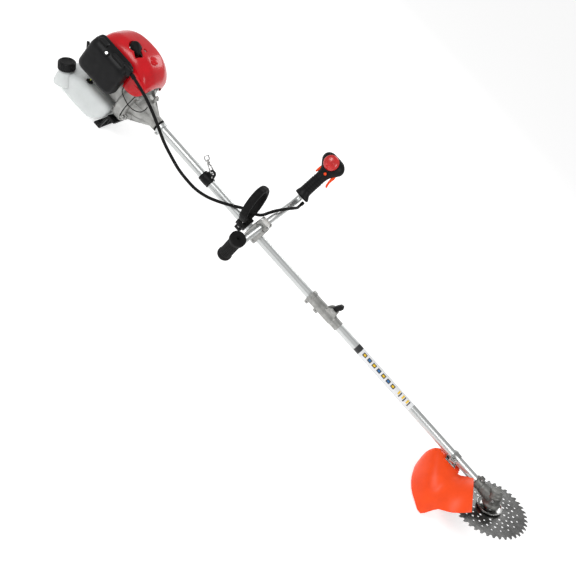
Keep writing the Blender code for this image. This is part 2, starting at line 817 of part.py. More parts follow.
def strap_ring():
    """Rectangular strap ring, its long side across the shaft."""
    along = hook_direction()
    across = Vector((-along.z, 0, along.x)) * -1
    frame = Matrix((along, Y_AXIS, across)).transposed().to_4x4()
    outer = (0.009, 0.0150)
    wire = 0.0040
    bm = bmesh.new()
    bmesh.ops.create_cube(bm, size=1, matrix=Matrix.Diagonal((2 * outer[0], 2 * outer[1], wire, 1)))
    plate = place("plate", mesh_of("plate", bm), bright_metal())
    bm = bmesh.new()
    inner = (outer[0] - wire, outer[1] - wire)
    bmesh.ops.create_cube(bm, size=1, matrix=Matrix.Diagonal((2 * inner[0], 2 * inner[1], 0.02, 1)))
    hole = place("hole", mesh_of("hole", bm), bright_metal())
    less(plate, hole)
    plate.rotation_quaternion = frame.to_quaternion()
    plate.location = hook_point(0.050)
    return plate


def curve_to_piece(source, name, look):
    """A mesh object of a curve's tube."""
    bpy.context.view_layer.update()
    graph = bpy.context.evaluated_depsgraph_get()
    mesh = bpy.data.meshes.new_from_object(source.evaluated_get(graph))
    bm = bmesh.new()
    bm.from_mesh(mesh)
    bpy.data.objects.remove(source)
    return place(name, mesh_of(name, bm), look)


def set_origin(piece, at):
    """Moves the object's origin to a point, leaving its shape where it is."""
    piece.data.transform(Matrix.Translation(piece.location - Vector(at)))
    piece.location = at
    return piece


def make_snap_gate():
    """Sprung gate across the hook's mouth."""
    start = hook_point(0.0208, -0.0088)
    end = hook_point(0.0328, -0.0072)
    return rod("snap_gate", bright_metal(), 0.0018, start, end, 10)


# Handles
def make_loop_handle():
    """Moulded loop that stands over the tube, leaning back, on its own half clamp."""
    half_width = 0.058
    half_height = 0.056
    steps = 20
    rings = []
    for number in range(steps):
        turn = 2 * math.pi * number / steps
        out = Vector((0, math.cos(turn), math.sin(turn)))
        centre = Vector((0, half_width * out.y, 0.070 + half_height * out.z))
        rings.append([centre + out * dy + X_AXIS * dx for dx, dy in loop_section()])
    bm = bmesh.new()
    loops = [[bm.verts.new(point) for point in points] for points in rings]
    for first, second in zip(loops, loops[1:] + loops[:1]):
        for one, two, three, four in zip(
            first, first[1:] + first[:1], second[1:] + second[:1], second
        ):
            bm.faces.new((one, two, three, four))
    body = place("loop_handle", mesh_of("loop_handle", bm), black_rubber(), (LOOP_X, 0, 0))
    body.rotation_quaternion = Matrix.Rotation(-LOOP_LEAN, 3, "Y").to_quaternion()
    seat = ring("seat", black_rubber(), 0.0235, 0.012, (LOOP_X - 0.018, 0, 0), (LOOP_X + 0.018, 0, 0))
    bore = rod("bore", steel(), SOCKET_R, (0.50, 0, 0), (0.60, 0, 0), 24)
    below = block("below", steel(), (0.50, -0.1, -0.1), (0.60, 0.1, 0.0))
    plus(body, seat)
    return less(body, bore, below)


def loop_section():
    """The loop's own section: wide along the shaft, rounded at the corners."""
    wide = 0.0125
    thick = 0.0090
    return [
        (wide, thick * 0.45), (wide * 0.55, thick), (-wide * 0.55, thick), (-wide, thick * 0.45),
        (-wide, -thick * 0.45), (-wide * 0.55, -thick), (wide * 0.55, -thick), (wide, -thick * 0.45),
    ]


def make_loop_clamp_cap():
    """Lower half of the loop handle's clamp, with a lug for its screw on each side."""
    body = rod("loop_clamp_cap", black_plastic(), 0.0235, (LOOP_X - 0.016, 0, 0), (LOOP_X + 0.016, 0, 0), 24)
    lugs = block("lugs", black_plastic(), (LOOP_X - 0.010, -0.030, -0.010), (LOOP_X + 0.010, 0.030, -0.001))
    low = (LOOP_X - 0.012, -0.014, -0.034)
    foot = block("foot", black_plastic(), low, (LOOP_X + 0.012, 0.014, -0.016), 0.003)
    bore = rod("bore", steel(), SOCKET_R, (0.50, 0, 0), (0.60, 0, 0), 24)
    above = block("above", steel(), (0.50, -0.1, -GAP), (0.60, 0.1, 0.1))
    plus(body, lugs, foot)
    return less(body, bore, above)


def bar_cut(name):
    return rod(name, steel(), BAR_R + GAP, (BAR_X, -0.1, BAR_RISE), (BAR_X, 0.1, BAR_RISE), 20)


def make_handlebar_clamp_base():
    low = (BAR_X - 0.022, -0.019, -0.021)
    high = (BAR_X + 0.022, 0.019, BAR_RISE - 0.0005)
    body = block("handlebar_clamp_base", cast_metal(), low, high, 0.003)
    bore = rod("bore", steel(), SOCKET_R, (0.55, 0, 0), (0.66, 0, 0), 24)
    slot = block("slot", steel(), (0.55, -0.0010, -0.03), (0.66, 0.0010, -0.010))
    return less(body, bore, slot, bar_cut("seat"))


def make_handlebar_clamp_cap():
    low = (BAR_X - 0.020, -0.019, BAR_RISE + 0.0005)
    high = (BAR_X + 0.020, 0.019, BAR_RISE + 0.018)
    body = block("handlebar_clamp_cap", cast_metal(), low, high, 0.003)
    return less(body, bar_cut("seat"))


def grip_direction(side):
    return Vector((0, side * math.cos(GRIP_TILT), math.sin(GRIP_TILT)))


def grip_point(side, distance, forward=0.0, out=0.0):
    """A point on a grip's axis, up from its lower end; forward is along the shaft, out is away from it."""
    along = grip_direction(side)
    away = Vector((0, side * math.sin(GRIP_TILT), -math.cos(GRIP_TILT)))
    return Vector((BAR_X, side * GRIP_Y, GRIP_Z)) + along * distance + X_AXIS * forward + away * out


def make_handlebar():
    """One bent tube, open at both ends, from inside one grip to inside the other."""
    half = [grip_point(1, height) for height in (0.070, 0.035, 0.012, -0.002, -0.008)]
    half += [(BAR_X, 0.2645, 0.0370), (BAR_X, 0.2480, 0.0320), (BAR_X, 0.2220, 0.0320)]
    half += [(BAR_X, 0.120, BAR_RISE - 0.002), (BAR_X, 0.050, BAR_RISE), (BAR_X, 0.020, BAR_RISE)]
    half = [Vector(point) for point in half]
    route = half + [Vector((point.x, -point.y, point.z)) for point in reversed(half)]
    bar = curve_to_piece(cable("bar", bright_metal(), route, BAR_R, 0.028, 3), "handlebar", bright_metal())
    longer = [grip_point(1, 0.080)] + route + [grip_point(-1, 0.080)]
    bore = curve_to_piece(cable("inside", steel(), longer, BAR_R - BAR_WALL, 0.028, 2), "bore", steel())
    return less(bar, bore)


def make_plain_grip():
    """Sleeve with a flange at its lower end and a wider cap with a small vent at its outer end."""
    length = PLAIN_GRIP_LENGTH
    outline = [
        (BAR_R + GAP, 0.0), (0.0210, 0.0), (0.0210, 0.010), (0.0185, 0.014), (0.0185, length - 0.018),
        (0.0232, length - 0.012), (0.0232, length - 0.002), (0.0200, length), (0.0025, length),
        (0.0025, length - 0.006), (BAR_R + GAP, length - 0.008),
    ]
    return turned("plain_grip", black_rubber(), outline, grip_point(-1, 0), grip_direction(-1), 24)


def throttle_ring(distance, rear, front, half_depth):
    """One section of the throttle handle across its own axis."""
    middle = (front - rear) / 2
    reach = (front + rear) / 2
    points = []
    for number in range(16):
        turn = 2 * math.pi * number / 16
        points.append(grip_point(1, distance, middle + reach * math.cos(turn), half_depth * math.sin(turn)))
    return points


def make_throttle_handle():
    """Right-hand housing: flared base, slim grip and a broad head, slotted for its trigger and its lock."""
    sections = [
        (0.000, 0.027, 0.028, 0.021), (0.008, 0.027, 0.030, 0.021), (0.022, 0.024, 0.018, 0.0185),
        (0.100, 0.023, 0.0175, 0.0180), (0.118, 0.027, 0.024, 0.0190), (0.132, 0.044, 0.035, 0.0230),
        (0.150, 0.053, 0.042, 0.0250), (0.163, 0.052, 0.038, 0.0235), (0.172, 0.045, 0.030, 0.0190),
        (THROTTLE_LENGTH, 0.030, 0.016, 0.0110),
    ]
    body = lofted("throttle_handle", black_plastic(), [throttle_ring(*section) for section in sections])
    bore = rod("bore", steel(), BAR_R + GAP, grip_point(1, -0.01), grip_point(1, 0.0715), 20)
    trigger = slot_in_handle("trigger_slot", 0.0765, 0.140, 0.004, 0.060)
    lock = slot_in_handle("lock_slot", 0.0765, 0.140, -0.060, -0.004)
    dome = dome_body("dome_seat", GAP)
    return less(body, bore, trigger, lock, dome)


def slot_in_handle(name, low, high, rear, front):
    """A straight-sided slot through the handle's front or rear, as wide as a finger lever."""
    half = 0.0058
    corners = [(low, rear), (high, rear), (high, front), (low, front)]
    return lofted(
        name,
        steel(),
        [[grip_point(1, distance, forward, out) for distance, forward in corners] for out in (-half, half)],
    )


def dome_body(name, grow):
    """Lens-shaped red cover on the head's inner side, which faces the operator."""
    centre = grip_point(1, 0.1510, -0.0130, -0.0160)
    outline = [
        (0, -0.004 - grow), (0.026 + grow, -0.004 - grow), (0.027 + grow, 0.004), (0.021, 0.0105 + grow),
        (0.011, 0.0138 + grow), (0, 0.0150 + grow),
    ]
    inward = (grip_point(1, 0, 0, -1) - grip_point(1, 0)).normalized()
    return turned(name, red_plastic(), outline, centre, inward, 24)


def make_throttle_dome():
    return dome_body("throttle_dome", 0.0)


def handle_plate(name, look, outline, half, pivot):
    """A flat lever in the handle's own plane: outline is (distance up the handle, forward) points."""
    rings = [[grip_point(1, distance, forward, out) for distance, forward in outline] for out in (-half, half)]
    return set_origin(lofted(name, look, rings), grip_point(1, *pivot))


def make_throttle_trigger():
    outline = [
        (0.1330, 0.0180), (0.1375, 0.0240), (0.1330, 0.0300), (0.1200, 0.0330), (0.1000, 0.0320),
        (0.0860, 0.0360), (0.0820, 0.0330), (0.0900, 0.0270), (0.1050, 0.0240), (0.1200, 0.0220),
    ]
    return handle_plate("throttle_trigger", orange_plastic(), outline, 0.0050, (0.1320, 0.0240))


def make_lockout_lever():
    outline = [
        (0.1330, -0.0180), (0.1375, -0.0240), (0.1330, -0.0290), (0.1180, -0.0310), (0.0980, -0.0310),
        (0.0930, -0.0280), (0.1000, -0.0240), (0.1200, -0.0210),
    ]
    return handle_plate("lockout_lever", orange_plastic(), outline, 0.0050, (0.1320, -0.0240))


def make_stop_switch():
    """Small slider on the head's inner side below the red cover."""
    inward = (grip_point(1, 0, 0, -1) - grip_point(1, 0)).normalized()
    outline = [(0, 0), (0.0045, 0), (0.0045, 0.0035), (0.0030, 0.0050), (0, 0.0050)]
    return turned("stop_switch", orange_plastic(), outline, grip_point(1, 0.1120, 0.0, -0.0195), inward, 12)


def make_throttle_conduit():
    """Throttle cable's sleeve, from the carburettor's side round the tube and into the throttle handle."""
    route = [
        (0.004, -0.1000, 0.1120),
        (0.040, -0.0985, 0.1035),
        (0.083, -0.0965, 0.0915),
        (0.130, -0.0950, 0.0720),
        (0.168, -0.0900, 0.0500),
        (0.204, -0.0850, 0.0290),
        (0.247, -0.0800, 0.0110),
        (0.297, -0.0700, -0.0080),
        (0.357, -0.0560, -0.0190),
        (0.401, -0.0450, -0.0145),
        (0.440, -0.0320, -0.0010),
        (0.474, -0.0180, 0.0150),
        (0.503, -0.0040, 0.0300),
        (0.530, 0.0070, 0.0360),
        (0.548, 0.0220, 0.0385),
        (0.558, 0.0450, 0.0395),
        (0.563, 0.0700, 0.0420),
        (0.572, 0.0950, 0.0520),
        (0.582, 0.1180, 0.0590),
        (0.592, 0.1460, 0.0620),
        (0.601, 0.1850, 0.0570),
        (0.606, 0.2250, 0.0460),
        (0.6052, 0.2570, 0.0400),
        (0.6052, 0.2742, 0.0480),
    ]
    return cable("throttle_conduit", black_rubber(), route, 0.0050, 0.022, 2)


def make_stop_wire():
    """Thin loop of wire below the sleeve, from the filter's side back up towards the sleeve."""
    route = [
        (0.006, -0.0900, 0.0560),
        (0.012, -0.0940, 0.0440),
        (0.028, -0.0960, 0.0360),
        (0.052, -0.0960, 0.0290),
        (0.076, -0.0960, 0.0320),
        (0.094, -0.0960, 0.0440),
        (0.101, -0.0960, 0.0600),
        (0.1015, -0.0950, 0.0740),
    ]
    return cable("stop_wire", black_rubber(), route, 0.0015, 0.008, 2)


# Coupling and lower shaft
def make_coupling_body():
    """Cast sleeve over both tubes, stepped, with the lever's cheeks on top."""
    rear, front = COUPLING
    outline = [
        (SOCKET_R, rear), (0.0215, rear), (0.0215, rear + 0.013), (0.0185, rear + 0.015),
        (0.0185, front - 0.031), (0.0165, front - 0.028), (0.0165, front), (SOCKET_R, front),
    ]
    body = turned("coupling_body", cast_metal(), outline, (0, 0, 0), X_AXIS, 24)
    for side in (-1, 1):
        cheek = side_plate(
            "cheek",
            cast_metal(),
            [
                (0.9025, 0.010), (0.9425, 0.010), (0.9395, 0.030), (0.9315, 0.0345), (0.9175, 0.0345),
                (0.9095, 0.030),
            ],
            side * 0.0110 - 0.0030,
            side * 0.0110 + 0.0030,
        )
        plus(body, cheek)
    bore = rod("bore", steel(), SOCKET_R, (0.8, 0, 0), (1.0, 0, 0), 24)
    return less(body, bore)


def make_coupling_lever():
    """Quick-release lever between the cheeks, standing up and forward when locked."""
    heel = 0.0090
    turns = [math.radians(angle) for angle in range(150, 391, 30)]
    outline = [(heel * math.cos(turn), heel * math.sin(turn)) for turn in turns]
    outline += [(0.014, 0.027), (0.009, 0.033), (0.001, 0.031), (-0.006, 0.014)]
    pivot = LEVER_PIVOT
    return side_plate(
        "coupling_lever",
        black_plastic(),
        [(x + pivot[0], z + pivot[1]) for x, z in outline],
        -0.0076,
        0.0076,
        pivot,
    )


def make_lower_tube():
    return ring("lower_tube", bright_metal(), TUBE_R, TUBE_BORE_R, (LOWER_TUBE[0], 0, 0), (LOWER_TUBE[1], 0, 0))


APEX = BLADE_CENTRE + BLADE_AXIS * (-BLADE_CENTRE.z / math.cos(BLADE_TILT))
PINION_TEETH = 14
GEAR_TEETH = 19
CONE_LENGTH = 0.020
PINION_ANGLE = math.atan2(math.cos(BLADE_TILT), GEAR_TEETH / PINION_TEETH + math.sin(BLADE_TILT))
GEAR_ANGLE = math.pi / 2 - BLADE_TILT - PINION_ANGLE


def cone_outline(angle, core):
    """Section of a bevel gear's plain pitch cone; distances are from the cones' common point."""
    shrink = GAP / math.cos(angle)
    big = CONE_LENGTH * math.cos(angle)
    small = 0.62 * big
    edge = math.tan(angle)
    return [(core, small), (small * edge - shrink, small), (big * edge - shrink, big), (core, big)]


def make_lower_drive_shaft():
    """Rod in the lower tube with the bevel pinion on its end."""
    end = APEX.x - 0.62 * CONE_LENGTH * math.cos(PINION_ANGLE)
    body = rod("lower_drive_shaft", steel(), ROD_R, (0.8855, 0, 0), (end, 0, 0), 12)
    pinion = turned("pinion", steel(), cone_outline(PINION_ANGLE, 0.0), APEX, -X_AXIS, 20)
    return plus(body, pinion)


def head_point(height):
    return BLADE_CENTRE + BLADE_AXIS * height


def make_gearbox_housing():
    """Cast elbow: a neck round the tube and a round head on the blade's axis."""
    head = [
        (0, 0.0165), (0.0290, 0.0165), (0.0290, 0.0225), (0.0225, 0.0260), (0.0225, 0.0640), (0.0170, 0.0720),
        (0, 0.0720),
    ]
    body = turned("gearbox_housing", dark_cast(), head, head_point(0), BLADE_AXIS, 24)
    neck = turned(
        "neck",
        dark_cast(),
        [(0, 1.607), (0.0190, 1.607), (0.0190, 1.628), (0.0175, 1.631), (0.0190, 1.690), (0, 1.690)],
        (0, 0, 0),
        X_AXIS,
        24,
    )
    plus(body, neck)
    tube_socket = rod("tube_socket", steel(), SOCKET_R, (1.59, 0, 0), (LOWER_TUBE[1] + GAP, 0, 0), 24)
    rod_way = rod("rod_way", steel(), 0.0115, (1.60, 0, 0), (1.700, 0, 0), 20)
    chamber = rod("chamber", steel(), 0.0165, head_point(0.010), head_point(0.058), 24)
    return less(body, tube_socket, rod_way, chamber)


def make_output_shaft():
    """Blade's spindle with its bevel gear."""
    apex_height = (APEX - BLADE_CENTRE).dot(BLADE_AXIS)
    big = CONE_LENGTH * math.cos(GEAR_ANGLE)
    shrink = GAP / math.cos(GEAR_ANGLE)
    small = 0.62 * big
    radius = 0.005
    outline = [
        (0, -0.0150), (radius, -0.0150), (radius, apex_height + small),
        (small * math.tan(GEAR_ANGLE) - shrink, apex_height + small),
        (big * math.tan(GEAR_ANGLE) - shrink, apex_height + big), (0, apex_height + big),
    ]
    return turned("output_shaft", steel(), outline, head_point(0), BLADE_AXIS, 20)


def make_blade_holder():
    """Zinc-plated dish above the blade, with the spigot that centres it."""
    outline = [
        (0.0053, -0.0006), (0.0124, -0.0006), (0.0124, 0.0011), (0.0300, 0.0011), (0.0400, 0.0030),
        (0.0410, 0.0105), (0.0385, 0.0105), (0.0375, 0.0052), (0.0300, 0.0040), (0.0150, 0.0040),
        (0.0150, 0.0130), (0.0053, 0.0130),
    ]
    return turned("blade_holder", bright_metal(), outline, head_point(0), BLADE_AXIS, 24)


def make_blade():
    """Saw blade of forty raked teeth on a round bore."""
    tooth = ((0.0, BLADE_R), (0.35, BLADE_R - 0.0025), (0.62, BLADE_R - 0.0100), (0.90, BLADE_R - 0.0085))
    pitch = 2 * math.pi / BLADE_TEETH
    outline = []
    for number in range(BLADE_TEETH):
        start = pitch * number
        for share, radius in tooth:
            turn = start + share * pitch
            outline.append((radius * math.cos(turn), radius * math.sin(turn)))
    body = cut_out("blade", steel(), outline, BLADE_THICK, head_point(0), BLADE_AXIS)
    bore = rod("bore", steel(), 0.0127, head_point(-0.01), head_point(0.01), 24)
    return less(body, bore)


def make_blade_nut():
    """Lower cup and the left-hand nut, as one clamped stack."""
    outline = [
        (0.0053, -0.0011), (0.0240, -0.0011), (0.0250, -0.0060), (0.0120, -0.0075), (0.0120, -0.0130),
        (0.0053, -0.0130),
    ]
    return turned("blade_nut", bright_metal(), outline, head_point(0), BLADE_AXIS, 20)


def guard_columns():
    """Top and bottom of the guard at each station from the near front edge round to the middle."""
    return [
        ((1.594, -0.0240, 0.0120), (1.638, -0.1250, -0.0070)),
        ((1.577, -0.0240, -0.0030), (1.617, -0.1420, -0.0260)),
        ((1.567, -0.0230, -0.0160), (1.596, -0.1500, -0.0490)),
        ((1.556, -0.0210, -0.0230), (1.572, -0.1450, -0.0760)),
        ((1.545, -0.0180, -0.0230), (1.556, -0.1460, -0.1385)),
        ((1.528, -0.0140, -0.0230), (1.528, -0.1300, -0.1385)),
        ((1.508, -0.0100, -0.0230), (1.500, -0.1020, -0.1385)),
        ((1.488, -0.0060, -0.0230), (1.482, -0.0620, -0.1385)),
        ((1.470, 0.0, -0.0230), (1.474, 0.0, -0.1385)),
    ]


def make_guard():
    """Curved shield behind the blade: one bulging sheet from under the tube down to the ground."""
    rows = 7
    near = guard_columns()
    far = [tuple((x, -y, z) for x, y, z in column) for column in reversed(near[:-1])]
    bm = bmesh.new()
    grid = []
    for top, bottom in near + far:
        top = Vector(top)
        bottom = Vector(bottom)
        span = bottom - top
        out = Vector((-0.45, 1.0 if bottom.y > 0 else -1.0, 0.75)) if bottom.y else Vector((-1, 0, 0.4))
        out.normalize()
        column = []
        for row in range(rows):
            share = row / (rows - 1)
            bulge = 0.16 * span.length * math.sin(math.pi * share**0.8)
            column.append(bm.verts.new(top + span * share + out * bulge))
        grid.append(column)
    for first, second in zip(grid, grid[1:]):
        for one, two, three, four in zip(first, first[1:], second[1:], second):
            bm.faces.new((one, two, three, four))
    body = place("guard", mesh_of("guard", bm), orange_plastic())
    wall = body.modifiers.new("wall", "SOLIDIFY")
    wall.thickness = 0.0028
    wall.offset = -1
    wall.use_even_offset = True
    return body


def make_guard_bracket():
    """Two-part clamp in one piece: a band round the tube on a flat foot that carries the guard."""
    x = BRACKET_X
    body = ring("guard_bracket", bright_metal(), 0.0175, 0.012, (x - 0.012, 0, 0), (x + 0.012, 0, 0))
    foot = block("foot", bright_metal(), (x - 0.018, -0.020, -0.0190), (x + 0.024, 0.020, -0.0150))
    ears = block("ears", bright_metal(), (x - 0.010, -0.026, -0.0030), (x + 0.010, 0.026, 0.0030))
    bore = rod("bore", steel(), SOCKET_R, (1.45, 0, 0), (1.60, 0, 0), 24)
    plus(body, foot, ears)
    return less(body, bore)


def main():
    clear_scene()
    make_shaft_axis()
    make_crankcase()
    make_cylinder()
    make_piston()
    make_crankshaft()
    make_flywheel_fan()
    make_clutch_shoes()
    make_clutch_drum()
    make_fan_housing()
    make_clutch_housing()
    make_starter_housing()
    make_starter_pulley()
    make_starter_handle()
    make_engine_cover()
    make_spark_plug()
    make_spark_plug_cap()
    make_muffler()
    make_muffler_guard()
    make_carburetor()
    make_filter_base()
    make_filter_element()
    make_filter_cover()
    make_filter_screw()
    make_choke_lever()
    make_fuel_tank()
    make_fuel_cap()
    make_tank_grommet()
    make_fuel_line()
    make_tank_stand()
    make_vibration_ring()
    make_tube_collar()
    make_upper_tube()
    make_upper_drive_shaft()
    make_bush("drive_shaft_bush", 0.500)
    make_hanger_clamp()
    make_snap_hook()
    make_snap_gate()
    make_loop_handle()
    make_loop_clamp_cap()
    make_handlebar_clamp_base()
    make_handlebar_clamp_cap()
    make_handlebar()
    make_plain_grip()
    make_throttle_handle()
    make_throttle_dome()
    make_throttle_trigger()
    make_lockout_lever()
    make_stop_switch()
    make_throttle_conduit()
    make_stop_wire()
    make_coupling_body()
    make_coupling_lever()
    make_lower_tube()
    make_lower_drive_shaft()
    make_gearbox_housing()
    make_output_shaft()
    make_blade_holder()
    make_blade()
    make_blade_nut()
    make_guard()
    make_guard_bracket()


main()
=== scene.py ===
import json
from math import copysign, cos, pi, radians, sin

import bmesh
import bpy
from mathutils import Matrix, Vector


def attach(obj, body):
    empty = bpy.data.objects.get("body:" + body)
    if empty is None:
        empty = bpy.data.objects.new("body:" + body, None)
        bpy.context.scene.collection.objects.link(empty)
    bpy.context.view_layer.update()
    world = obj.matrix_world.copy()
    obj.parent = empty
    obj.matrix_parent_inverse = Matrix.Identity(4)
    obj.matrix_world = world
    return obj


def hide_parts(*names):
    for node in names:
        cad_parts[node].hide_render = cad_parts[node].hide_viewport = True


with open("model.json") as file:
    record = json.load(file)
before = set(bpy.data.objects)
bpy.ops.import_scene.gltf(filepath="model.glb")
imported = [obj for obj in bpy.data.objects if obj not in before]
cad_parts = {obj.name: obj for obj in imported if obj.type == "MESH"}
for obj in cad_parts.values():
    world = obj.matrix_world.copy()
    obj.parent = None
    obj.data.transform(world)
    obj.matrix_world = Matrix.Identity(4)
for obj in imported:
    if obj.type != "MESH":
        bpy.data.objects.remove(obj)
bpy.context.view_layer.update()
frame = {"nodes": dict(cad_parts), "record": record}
# Height of the shaft over the ground, and the bore of what fits round a tube
shaftHeight = 0.14
snug = 0.0143
xAxis = Vector((1, 0, 0))
yAxis = Vector((0, 1, 0))
zAxis = Vector((0, 0, 1))
nodeSlots = {row["node"]: row["material_slot"] for row in frame["record"]["subparts"]}
print("frame loaded")


# Finishes
commonLook = dict(
    wear=0.3, metallic=0.0, roughness=0.35, spread=0.14, mottle=60, grain=900, bump=0.03, shine=0.5,
)
finishValues = {
    "castMetal": dict(
        colour=(0.4, 0.4, 0.385), other=(0.25, 0.25, 0.24), worn=(0.72, 0.72, 0.71), wear=0.6, metallic=0.75,
        roughness=0.44, spread=0.18, mottle=55, grain=1100, bump=0.22,
    ),
    "drawnTube": dict(
        colour=(0.62, 0.635, 0.63), other=(0.47, 0.485, 0.48), worn=(0.92, 0.92, 0.92), metallic=0.85,
        roughness=0.36, spread=0.12, mottle=30, bump=0.05, stretch=(0.03, 1, 1),
    ),
    "zincSteel": dict(
        colour=(0.5, 0.5, 0.49), other=(0.33, 0.33, 0.325), worn=(0.9, 0.9, 0.9), wear=0.4, metallic=1.0,
        roughness=0.25, mottle=140, grain=1500, bump=0.06,
    ),
    "bareSteel": dict(
        colour=(0.2, 0.2, 0.2), other=(0.12, 0.12, 0.122), worn=(0.5, 0.5, 0.5), wear=0.4, metallic=1.0,
        roughness=0.32, mottle=90, grain=1300, bump=0.06,
    ),
    "bladeSteel": dict(
        colour=(0.24, 0.24, 0.235), other=(0.12, 0.12, 0.118), worn=(0.55, 0.55, 0.55), wear=0.6,
        metallic=1.0, roughness=0.3, spread=0.16, mottle=26, grain=1000, bump=0.05, rings=True,
    ),
    "darkCast": dict(
        colour=(0.22, 0.22, 0.208), other=(0.13, 0.13, 0.122), worn=(0.42, 0.42, 0.41), wear=0.5,
        metallic=0.7, roughness=0.45, spread=0.16, grain=1000, bump=0.25,
    ),
    "blackPlastic": dict(
        colour=(0.004, 0.0042, 0.0046), other=(0.009, 0.009, 0.0095), worn=(0.05, 0.05, 0.05), wear=0.35,
        roughness=0.4, mottle=45, grain=1600, bump=0.16, shine=0.16,
    ),
    "blackRubber": dict(
        colour=(0.004, 0.004, 0.004), other=(0.009, 0.009, 0.0088), worn=(0.045, 0.045, 0.043),
        roughness=0.6, mottle=50, grain=1300, bump=0.2, shine=0.12,
    ),
    "redPlastic": dict(
        colour=(0.62, 0.004, 0.01), other=(0.5, 0.003, 0.008), worn=(0.8, 0.1, 0.11), wear=0.35,
        roughness=0.24, spread=0.08, mottle=22, grain=700, bump=0.02, coat=0.18, shine=0.28,
    ),
    "redSatin": dict(
        colour=(0.6, 0.012, 0.012), other=(0.48, 0.008, 0.008), worn=(0.8, 0.15, 0.13), roughness=0.26,
        spread=0.1, mottle=40, bump=0.05, coat=0.3,
    ),
    "orangePlastic": dict(
        colour=(0.95, 0.08, 0.01), other=(0.84, 0.062, 0.008), worn=(1.0, 0.25, 0.12), roughness=0.34,
        spread=0.1, mottle=18, bump=0.06, shine=0.25,
    ),
    "tankPlastic": dict(
        colour=(0.66, 0.685, 0.68), other=(0.58, 0.605, 0.6), worn=(0.9, 0.9, 0.9), wear=0.25,
        roughness=0.42, spread=0.1, mottle=16, grain=800, bump=0.08, depth=0.02,
    ),
    "filterFoam": dict(
        colour=(0.07, 0.07, 0.075), other=(0.12, 0.12, 0.125), worn=(0.2, 0.2, 0.2), wear=0.1,
        roughness=0.88, spread=0.08, mottle=300, bump=0.6,
    ),
    "hosePlastic": dict(
        colour=(0.55, 0.6, 0.15), other=(0.42, 0.47, 0.1), worn=(0.7, 0.7, 0.4), wear=0.2, roughness=0.38,
        spread=0.1, bump=0.05,
    ),
    "labelWhite": dict(
        colour=(0.78, 0.79, 0.8), other=(0.7, 0.71, 0.72), worn=(0.5, 0.5, 0.5), spread=0.1,
    ),
    "labelBlack": dict(
        colour=(0.015, 0.015, 0.017), other=(0.03, 0.03, 0.03), worn=(0.3, 0.3, 0.3), spread=0.1,
    ),
    "labelYellow": dict(
        colour=(0.85, 0.55, 0.02), other=(0.75, 0.47, 0.02), worn=(0.8, 0.8, 0.7), spread=0.1,
    ),
    "labelBlue": dict(
        colour=(0.03, 0.16, 0.4), other=(0.03, 0.13, 0.33), worn=(0.5, 0.5, 0.6), spread=0.1,
    ),
}
slotFinish = {
    "cast_aluminium": "castMetal", "bright_aluminium": "drawnTube", "bare_steel": "bareSteel",
    "zinc_steel": "zincSteel", "dark_cast": "darkCast", "black_plastic": "blackPlastic",
    "black_rubber": "blackRubber", "red_plastic": "redPlastic", "orange_plastic": "orangePlastic",
    "tank_plastic": "tankPlastic", "filter_foam": "filterFoam", "hose_plastic": "hosePlastic",
}


def addNode(tree, kind, settings=None, **links):
    node = tree.nodes.new("ShaderNode" + kind)
    for key, value in (settings or {}).items():
        setattr(node, key, value)
    for key, value in links.items():
        socket = node.inputs[int(key[2:])] if key.startswith("in") else node.inputs[key.replace("_", " ")]
        if isinstance(value, bpy.types.NodeSocket):
            tree.links.new(value, socket)
        else:
            socket.default_value = value
    return node


